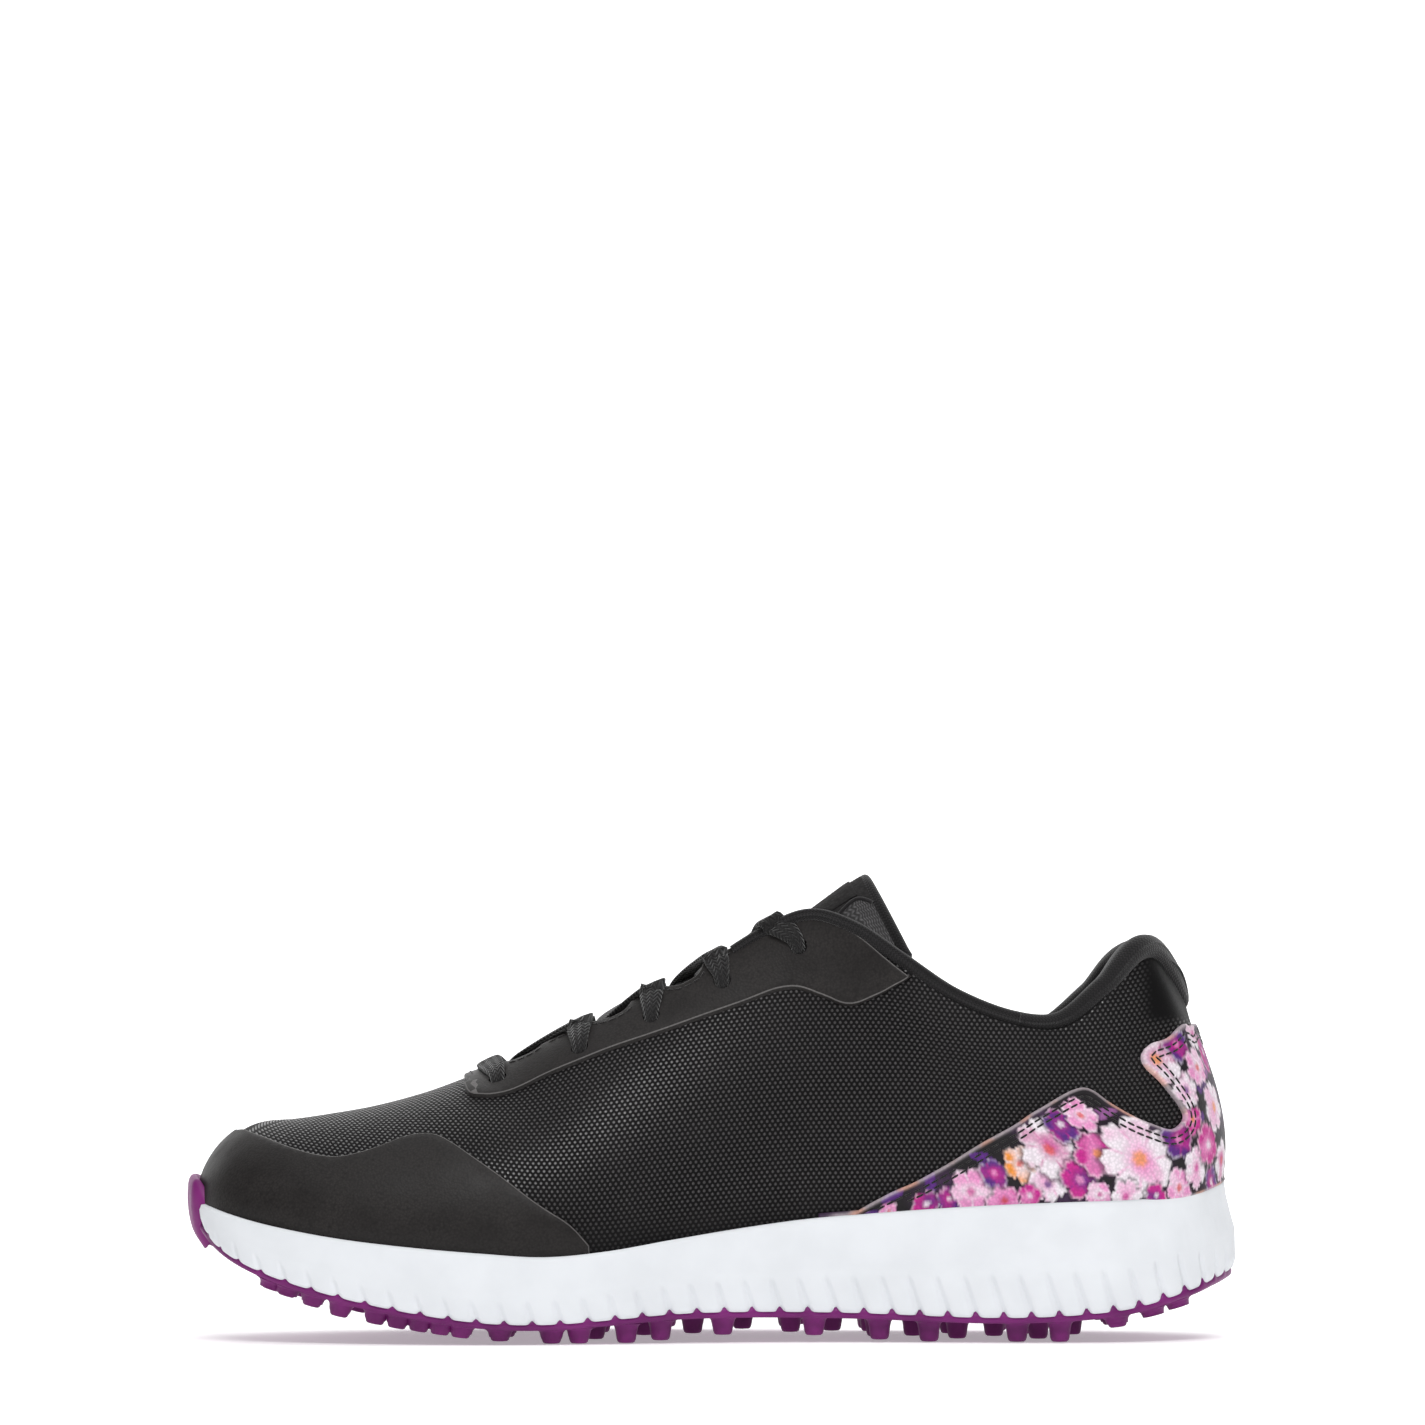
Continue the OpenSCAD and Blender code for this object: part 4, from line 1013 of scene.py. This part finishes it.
def add_lug(x, y):
    z = np.interp(x, line_x, line_z) - PLATE_T
    slope = (np.interp(x + 2, line_x, line_z) - np.interp(x - 2, line_x, line_z)) / 4
    floor_z = np.interp(x, TIP_X, TIP_Z)
    down = unit(np.array([slope, 0, -1.0])) if abs(slope) >= 0.1 else np.array([0, 0, -1.0])
    length = (z - floor_z) / -down[2]
    e1 = unit(np.cross(down, [0, 1.0, 0]))
    e2 = np.cross(down, e1)
    rings = []
    for r, q in LUG_PROFILE:
        far = q if q >= 0 and r > LUG_ROOT_R else length + q
        c = np.array([x, y, z + 0.2]) + down * far
        k = np.arange(20) * 2 * math.pi / 20
        rings.append(c + (np.outer(np.cos(k), e1) + np.outer(np.sin(k), e2)) * r)
    v, f = sweep(np.array(rings))
    lug_faces.extend(tuple(np.array(q) + sum(len(w) for w in lug_verts)) for q in f)
    lug_verts.append(v)


for side in (MED, LAT):
    for t in EDGE_LUGS:
        p = edge(t, side, 6.5)
        add_lug(p[0], p[1])
for i, t in enumerate(INNER_LUGS):
    a, b = edge(t, MED, 6.5), edge(t, LAT, 6.5)
    for f in ((0.27, 0.73) if i % 2 == 0 else (0.5,)):
        p = a * (1 - f) + b * f
        add_lug(p[0], p[1])
put_mesh("outsole_lugs", np.vstack(lug_verts), lug_faces, RUBBER, "shoe", ["outsole"], merge=0.001)

# toe bumper: a wrap of rubber on the front of the toe
BUMPER_OUT = [(2.2, 42.6), (1.2, 42.3), (0.45, 40.6), (0.3, 36.6), (0.8, 32), (2.0, 28), (4.2, 24.6)]
BUMPER_IN = [(2.5, 42.5), (3.0, 38), (2.9, 34.5), (4.0, 30), (5.2, 27)]
bump_a = np.linspace(-1.2, 1.15, 90)
bump_t, bump_s = np.abs(bump_a), np.where(bump_a < 0, MED, LAT)
fade = 1 - np.clip((np.abs(bump_a) - 0.8) / 0.4, 0, 1) ** 2
lift = under(bump_t) - under(0.0)
bumper_rows = []
for q in smooth_path([(x, z, 0) for x, z in BUMPER_OUT], 0.6)[:, :2].tolist() + [list(q) for q in BUMPER_IN[::-1]]:
    z = 34.5 + (q[1] - 34.5) * (0.35 + 0.65 * fade) + lift * 0.55
    bumper_rows.append(edge(bump_t, bump_s, q[0] + 2.6 * (1 - fade)) + UP * z[:, None])
bumper = np.stack(bumper_rows, 1)
verts, faces = sweep(bumper)
put_mesh("toe_bumper", verts, faces, BUMPER, "shoe", merge=0.001)

# ---------------------------------------------------------------- collar: bindings and the padded heel roll
ROLL = np.array([
    [10.3, 1.5, 1.4, 0, 0.9, 1.0], [12, 1.6, 1.6, 0, 0.9, 1.6], [13, 1.7, 1.8, 0, 1.0, 1.6],
    [14, 1.8, 2.0, 0, 1.3, 1.0], [16.2, 2.1, 2.3, 0, 1.6, 0.1], [17, 2.2, 2.4, 5, 2.0, 0], [18, 2.5, 2.7, 12, 2.6, 0.2],
    [19, 3.2, 3.4, 22, 4.0, 0.2], [19.5, 4.0, 6.2, 30, 6.4, -1.6], [20, 4.6, 10.6, 34, 9.0, -3.8]])
# How much further the inner half of the roll bulges into the shoe, by column
BULGE_IN = ([16.8, 18, 18.8, 19.6], [0.0, 1.0, 1.1, 0.1])


def top_line(t, s):
    return last(t, s, 1.0, (LINING_D + LINING_T + pad(t, 1.0)) / 2)


def roll_rings(t, s, m=28, crease=0.0):
    """Rings of the collar roll: e1 points out of the shoe, e2 up."""
    a = top_line(np.clip(t + 0.05, 0, LAST), s)
    b = top_line(np.clip(t - 0.05, 0, LAST), s)
    d = unit(a - b)
    d = np.where((t > LAST - 0.01)[:, None], np.array([0, 1.0, 0]) * -s[:, None], d)
    n = outward(t, s)
    n = unit(n - d * (n * d).sum(1, keepdims=True))
    up = np.cross(d, n) * s[:, None]
    val = [np.interp(t, ROLL[:, 0], ROLL[:, k])[:, None] for k in range(1, 6)]
    g = np.radians(val[2])
    e1, e2 = n * np.cos(g) + up * np.sin(g), up * np.cos(g) - n * np.sin(g)
    centre = top_line(t, s) + up * val[3] + n * val[4]
    k = np.arange(m) * 2 * math.pi / m
    shape = 1 - crease * np.exp(-((np.abs(np.angle(np.exp(1j * (k - 0.35)))) / 0.22) ** 2))
    inner = 1 + np.interp(t, *BULGE_IN)[:, None] * (np.cos(k) < 0)
    return centre[:, None] + (e1[:, None] * (val[0] * np.cos(k) * shape * inner)[..., None]
                              + e2[:, None] * (val[1] * np.sin(k) * shape)[..., None])


def roll_piece(name, t, s, nodes, crease):
    rings = roll_rings(t, s, crease=crease)
    v, f = sweep(rings)
    far = arc_along(rings.mean(1))
    uv = np.stack([np.repeat(far[:, None], rings.shape[1], 1),
                   np.repeat(np.arange(rings.shape[1])[None] * 0.7, len(t), 0)], -1).reshape(-1, 2)
    return put_mesh(name, v, f, KNIT, "shoe", nodes, uv=uv)


heel_t = np.concatenate([np.arange(16.1, 20, 0.04), [20.0]])
roll_piece("heel_roll_knit", np.concatenate([heel_t, heel_t[-2::-1]]),
           np.concatenate([np.full(len(heel_t), MED), np.full(len(heel_t) - 1, LAT)]), ["heel_roll"], 0.0)
bind_t = np.linspace(10.5, 16.14, 200)
for side, word in ((MED, "medial"), (LAT, "lateral")):
    roll_piece(f"binding_{word}", bind_t, np.full(len(bind_t), side), [f"topline_binding_{word}"], 0.22)

# ---------------------------------------------------------------- footbed
bed_t = np.linspace(0.6, LAST - 0.4, 200)
SOLE_INSIDE = SEAM_INSET + LINING_D + LINING_T + 0.8


def footbed_grid(lift_rim, z0):
    a, b = edge(bed_t, MED, SOLE_INSIDE + 0 * bed_t), edge(bed_t, LAT, SOLE_INSIDE + 0 * bed_t)
    f = np.linspace(0, 1, 61)
    p = a[:, None] * (1 - f)[None, :, None] + b[:, None] * f[None, :, None]
    rise = lift_rim * np.abs(2 * f - 1) ** 5
    ends = np.clip((bed_t - 18.0) / 1.6, 0, 1) ** 3
    z = rail(bed_t, MED)[:, 3] - 2.9 + z0
    return p + UP * (z[:, None] + rise[None] + ends[:, None] * lift_rim)[..., None]


top_bed, low_bed = footbed_grid(1.6, 4.9), footbed_grid(0.0, 1.9)
verts, faces = slab(top_bed, low_bed)
bed_uv = np.stack([top_bed[..., 0], top_bed[..., 1]], -1).reshape(-1, 2)
put_mesh("footbed_pad", verts, faces, FOOTBED, "shoe", ["footbed"],
                   uv=np.vstack([bed_uv, bed_uv]))

# ---------------------------------------------------------------- tongue
TONGUE = np.array([[-66, 60.6, 14, 5], [-57, 64.2, 16, 6.5], [-52, 66.9, 18, 8], [-37.2, 74.9, 21, 10.5],
                   [-19.2, 83.6, 22, 11.5], [-1.2, 93, 22, 12.5], [13.8, 102.2, 21, 14], [24, 110.4, 20, 17],
                   [34.8, 118.4, 19, 21], [39.8, 121.4, 17.5, 24]])
TONGUE_UP = np.array([-0.43, 0, 0.9]) / math.hypot(0.43, 0.9)
TONGUE_END = len(TONGUE) - 1


def tongue(k, s, d):
    k, s, d = np.broadcast_arrays(np.asarray(k, float), np.asarray(s, float), np.asarray(d, float))
    q = np.stack([np.interp(k, np.arange(len(TONGUE)), TONGUE[:, c]) for c in range(4)], -1)
    p = np.stack([q[..., 0], s * q[..., 2], q[..., 1]], -1)
    return p - TONGUE_UP * (d + q[..., 3] * s * s)[..., None]


def tongue_slab(name, d0, d1, mat, node, k1=TONGUE_END - 0.12, s1=0.93):
    k = np.linspace(0, k1, 150)
    s = np.linspace(-s1, s1, 61)
    kk, ss = np.meshgrid(k, s, indexing="ij")
    a, b = tongue(kk, ss, d0(ss)), tongue(kk, ss, d1(ss))
    verts, faces = slab(a, b)
    uv = np.stack([kk * 12, ss * 21], -1).reshape(-1, 2)
    return put_mesh(name, verts, faces, mat, "tongue", [node], uv=np.vstack([uv, uv]))


def foam_d(s):
    return 1.3 + 2.8 * (1 - s**4)


tongue_slab("tongue_face_cloth", lambda s: 0 * s, lambda s: 0.9 + 0 * s, TONGUE_CLOTH,
                      "tongue_face")
tongue_slab("tongue_padding", lambda s: 1.15 + 0 * s, foam_d, FOAM, "tongue_foam")
tongue_slab("tongue_back_cloth", lambda s: foam_d(s) + 0.25, lambda s: foam_d(s) + 1.05, LINING,
                      "tongue_lining")


def tube(path, r, m=16):
    d = unit(np.gradient(path, axis=0))
    e1 = unit(np.cross(d, [0.86, 0, 0.5]))
    e2 = np.cross(e1, d)
    k = np.arange(m) * 2 * math.pi / m
    return path[:, None] + r * (e1[:, None] * np.cos(k)[None, :, None] + e2[:, None] * np.sin(k)[None, :, None])


PIPING_R = 1.5
turn_s = np.sin(np.linspace(-math.pi / 2, math.pi / 2, 30))
piping = np.vstack([tongue(np.linspace(3, TONGUE_END - 0.15, 60), -1, PIPING_R), tongue(TONGUE_END, turn_s, PIPING_R),
                    tongue(np.linspace(TONGUE_END - 0.15, 3, 60), 1, PIPING_R)])
piping_rings = tube(smooth_path(piping[::3], 0.8), PIPING_R)
verts, faces = sweep(piping_rings)
flat_uv = np.stack([np.repeat(arc_along(piping_rings.mean(1))[:, None], 16, 1),
                np.repeat(np.arange(16)[None] * 0.6, len(piping_rings), 0)], -1)
put_mesh("tongue_piping_knit", verts, faces, KNIT, "tongue", ["tongue_piping"], uv=flat_uv.reshape(-1, 2))
kk, ss = np.meshgrid(np.linspace(6.6, 8.3, 40), np.linspace(-0.45, 0.45, 30), indexing="ij")
verts, faces = slab(tongue(kk, ss, -0.4), tongue(kk, ss, 0.1))
put_mesh("tongue_patch", verts, faces, TONGUE_CLOTH, "tongue", ["tongue_tab"])

# mesh panels at the sides of the tongue top, under an arched seam
for side, word in ((MED, "medial"), (LAT, "lateral")):
    kk, ff = np.meshgrid(np.linspace(6.9, 8.75, 50), np.linspace(0, 1, 20), indexing="ij")
    inner_s = 0.5 + 0.36 * ((kk - 8.1) / 1.2) ** 2
    ss = side * (inner_s + (0.985 - inner_s) * ff)
    verts, faces = slab(tongue(kk, ss, -0.25), tongue(kk, ss, 0.15))
    flat_uv = np.stack([kk * 9, ss * 22], -1).reshape(-1, 2)
    put_mesh(f"tongue_mesh_{word}", verts, faces, MESH, "tongue", uv=np.vstack([flat_uv, flat_uv]))
    seam = tongue(kk[:, 0], ss[:, 0], -0.3)
    verts, faces = sweep(tube(seam, 0.55, 10))
    put_mesh(f"tongue_seam_{word}", verts, faces, KNIT, "tongue", uv=np.zeros((len(verts), 2)))

# ---------------------------------------------------------------- lace
LACE_W, LACE_T = 6.6, 1.5


def normal_at(t, s, v):
    return unit(last(t, s, v, -1.0) - last(t, s, v, 1.0))


def on_upper(t, s, v, d, w, h):
    return np.concatenate([last(t, s, v, d), normal_at(t, s, v), [w, h]])


def mid_top(t):
    a, b = rail(t, MED), rail(t, LAT)
    return np.array([(a[4] + b[4]) / 2, (a[5] + b[5]) / 2, (a[7] + b[7]) / 2])


def over_tongue(t, lift):
    return np.concatenate([mid_top(t) + UP * lift, TONGUE_UP, [LACE_W, LACE_T]])


TOP_D, UNDER_D = -GAP - OVERLAY_T - LACE_T / 2 - 0.1, LINING_D + LINING_T + 0.75


# How far each lace leans along the shoe between its eyelet and the edge of the throat, in section units
LACE_LEAN = [-0.08, 0.16, 0.16, 0.02, -0.42]


def through(i, s):
    t, lean = EYELETS[i], LACE_LEAN[i]
    return [on_upper(t + lean, s, 0.995, TOP_D - 0.5, LACE_W, LACE_T),
            on_upper(t + lean * 0.75, s, 0.94, TOP_D - 0.1, LACE_W, LACE_T),
            on_upper(t + lean * 0.4, s, 0.88, TOP_D, LACE_W * 0.9, LACE_T + 0.2),
            on_upper(t + lean * 0.1, s, 0.825, TOP_D + 0.5, LACE_W * 0.66, 2.0),
            on_upper(t, s, EYELET_V - 0.005, 0.6, 3.4, 2.2), on_upper(t, s, EYELET_V, UNDER_D - 1, 3.2, 1.8)]


def half_route(s, i, lift):
    if i >= len(EYELETS):
        return []
    t = EYELETS[i]
    start = [over_tongue((EYELETS[i - 1] + t) / 2 + 0.1, lift)] if i else []
    if i == len(EYELETS) - 1:
        after = [on_upper(11.6 + 0.1 * k, s, v, UNDER_D + 0.3, w, h)
                 for k, (v, w, h) in enumerate([(0.74, 6, 1), (0.62, 6, 1), (0.5, 6, 1), (0.4, 3.2, 1.8)])]
    else:
        after = [on_upper(t + 0.3, s, 0.9, UNDER_D, 6, 1), on_upper(t + 0.45, s, 0.99, UNDER_D + 0.1, 6, 1)]
    return start + through(i, s) + after + half_route(-s, i + 1, lift)


bar = np.concatenate([mid_top(EYELETS[0]) + UP * 1.4, TONGUE_UP, [LACE_W, LACE_T]])
route = np.array(half_route(MED, 0, -0.9)[::-1] + [bar] + half_route(LAT, 0, 0.8))
fine = smooth_path(route, 0.7)
d = unit(np.gradient(fine[:, :3], axis=0))
flat = np.array([0.9, 0, 0.43])
flat = unit(flat - d * (d @ flat)[:, None])
nn = unit(np.cross(flat, d))
k = np.arange(20) * 2 * math.pi / 20
cx, cy = np.sign(np.cos(k)) * np.abs(np.cos(k)) ** 0.7, np.sign(np.sin(k)) * np.abs(np.sin(k)) ** 0.8
wide = flat[:, None] * (fine[:, 6:7] / 2 * cx)[..., None]
thick = nn[:, None] * (fine[:, 7:8] / 2 * cy)[..., None]
lace_rings = fine[:, None, :3] + wide + thick
verts, faces = sweep(lace_rings)
lace_far = arc_along(fine[:, :3])
flat_uv = np.stack([np.repeat(lace_far[:, None], 20, 1), np.repeat((cx * LACE_W / 2)[None], len(fine), 0)], -1)
put_mesh("lace_braid", verts, faces, LACE, "shoe", ["lace"], uv=flat_uv.reshape(-1, 2))
aglet_v, aglet_f = [], []
for side in (MED, LAT):
    path = np.linspace(last(11.93, side, 0.36, UNDER_D + 0.6), last(12.05, side, 0.18, UNDER_D + 0.6), 12)
    v, f = sweep(tube(path, 1.3))
    aglet_f += [tuple(np.array(q) + sum(len(w) for w in aglet_v)) for q in f]
    aglet_v.append(v)
put_mesh("lace_tips", np.vstack(aglet_v), aglet_f, AGLET, "shoe", ["aglets"])

# ---------------------------------------------------------------- CAD pieces that stay, inside the shoe
for node, mat in (("insole_board", BOARD), ("toe_puff", STIFFENER), ("heel_counter", STIFFENER),
                  ("lace_stay_medial", STIFFENER), ("lace_stay_lateral", STIFFENER)):
    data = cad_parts[node].data
    data.materials.clear()
    data.materials.append(mat)

# ---------------------------------------------------------------- floor and light
floor_s = Shader("floor")
floor_place = floor_s.place()
floor_tone = floor_s.mix(floor_s.noise(floor_place, 0.002, 2), (0.86, 0.86, 0.86, 1), (0.9, 0.9, 0.9, 1))
floor_glow = floor_s.spread(floor_s.parts(floor_place)[1], 300, 1300, 0.34, 0.9)
floor_s.set(base_color=floor_tone, roughness=0.85, emission_color=(1, 1, 1, 1), emission_strength=floor_glow)
FLOOR_HALF_WIDTH = 4000
BEND_R = 0.9
bend = np.radians(np.linspace(0, 90, 25))
floor_y = np.concatenate([[-3.0, 0.8], 1.6 + BEND_R * np.sin(bend), [1.6 + BEND_R]]) * 1000
floor_z = np.concatenate([[0, 0], BEND_R * (1 - np.cos(bend)), [3.5]]) * 1000
floor_path = np.stack([0 * floor_y, floor_y, floor_z], 1)
left, right = floor_path - [FLOOR_HALF_WIDTH, 0, 0], floor_path + [FLOOR_HALF_WIDTH, 0, 0]
me = bpy.data.meshes.new("floor")
me.from_pydata((np.vstack([left, right]) * MM).tolist(), [],
               [(i, i + 1, len(left) + i + 1, len(left) + i) for i in range(len(left) - 1)])
me.polygons.foreach_set("use_smooth", [True] * len(me.polygons))
me.materials.append(floor_s.mat)
floor = bpy.data.objects.new("floor", me)
bpy.context.scene.collection.objects.link(floor)

world = bpy.data.worlds.new("world")
bpy.context.scene.world = world
world.use_nodes = True
world.node_tree.nodes["Background"].inputs[0].default_value = (1, 1, 1, 1)
world.node_tree.nodes["Background"].inputs[1].default_value = 0.25


def area(name, place, aim, size, power):
    light = bpy.data.lights.new(name, "AREA")
    light.shape, light.size, light.size_y, light.energy = "RECTANGLE", size[0], size[1], power
    ob = bpy.data.objects.new(name, light)
    bpy.context.scene.collection.objects.link(ob)
    ob.location = place
    ob.rotation_euler = (Vector(aim) - Vector(place)).to_track_quat("-Z", "Y").to_euler()


area("key", (0.1, -0.85, 0.95), (0, 0, 0.05), (0.7, 0.26), 8.5)
area("top", (0, 0, 1.6), (0, 0, 0.05), (1.4, 1.2), 8)
area("back", (0.2, 1.0, 1.1), (0, 0, 0.05), (1.2, 0.5), 4)
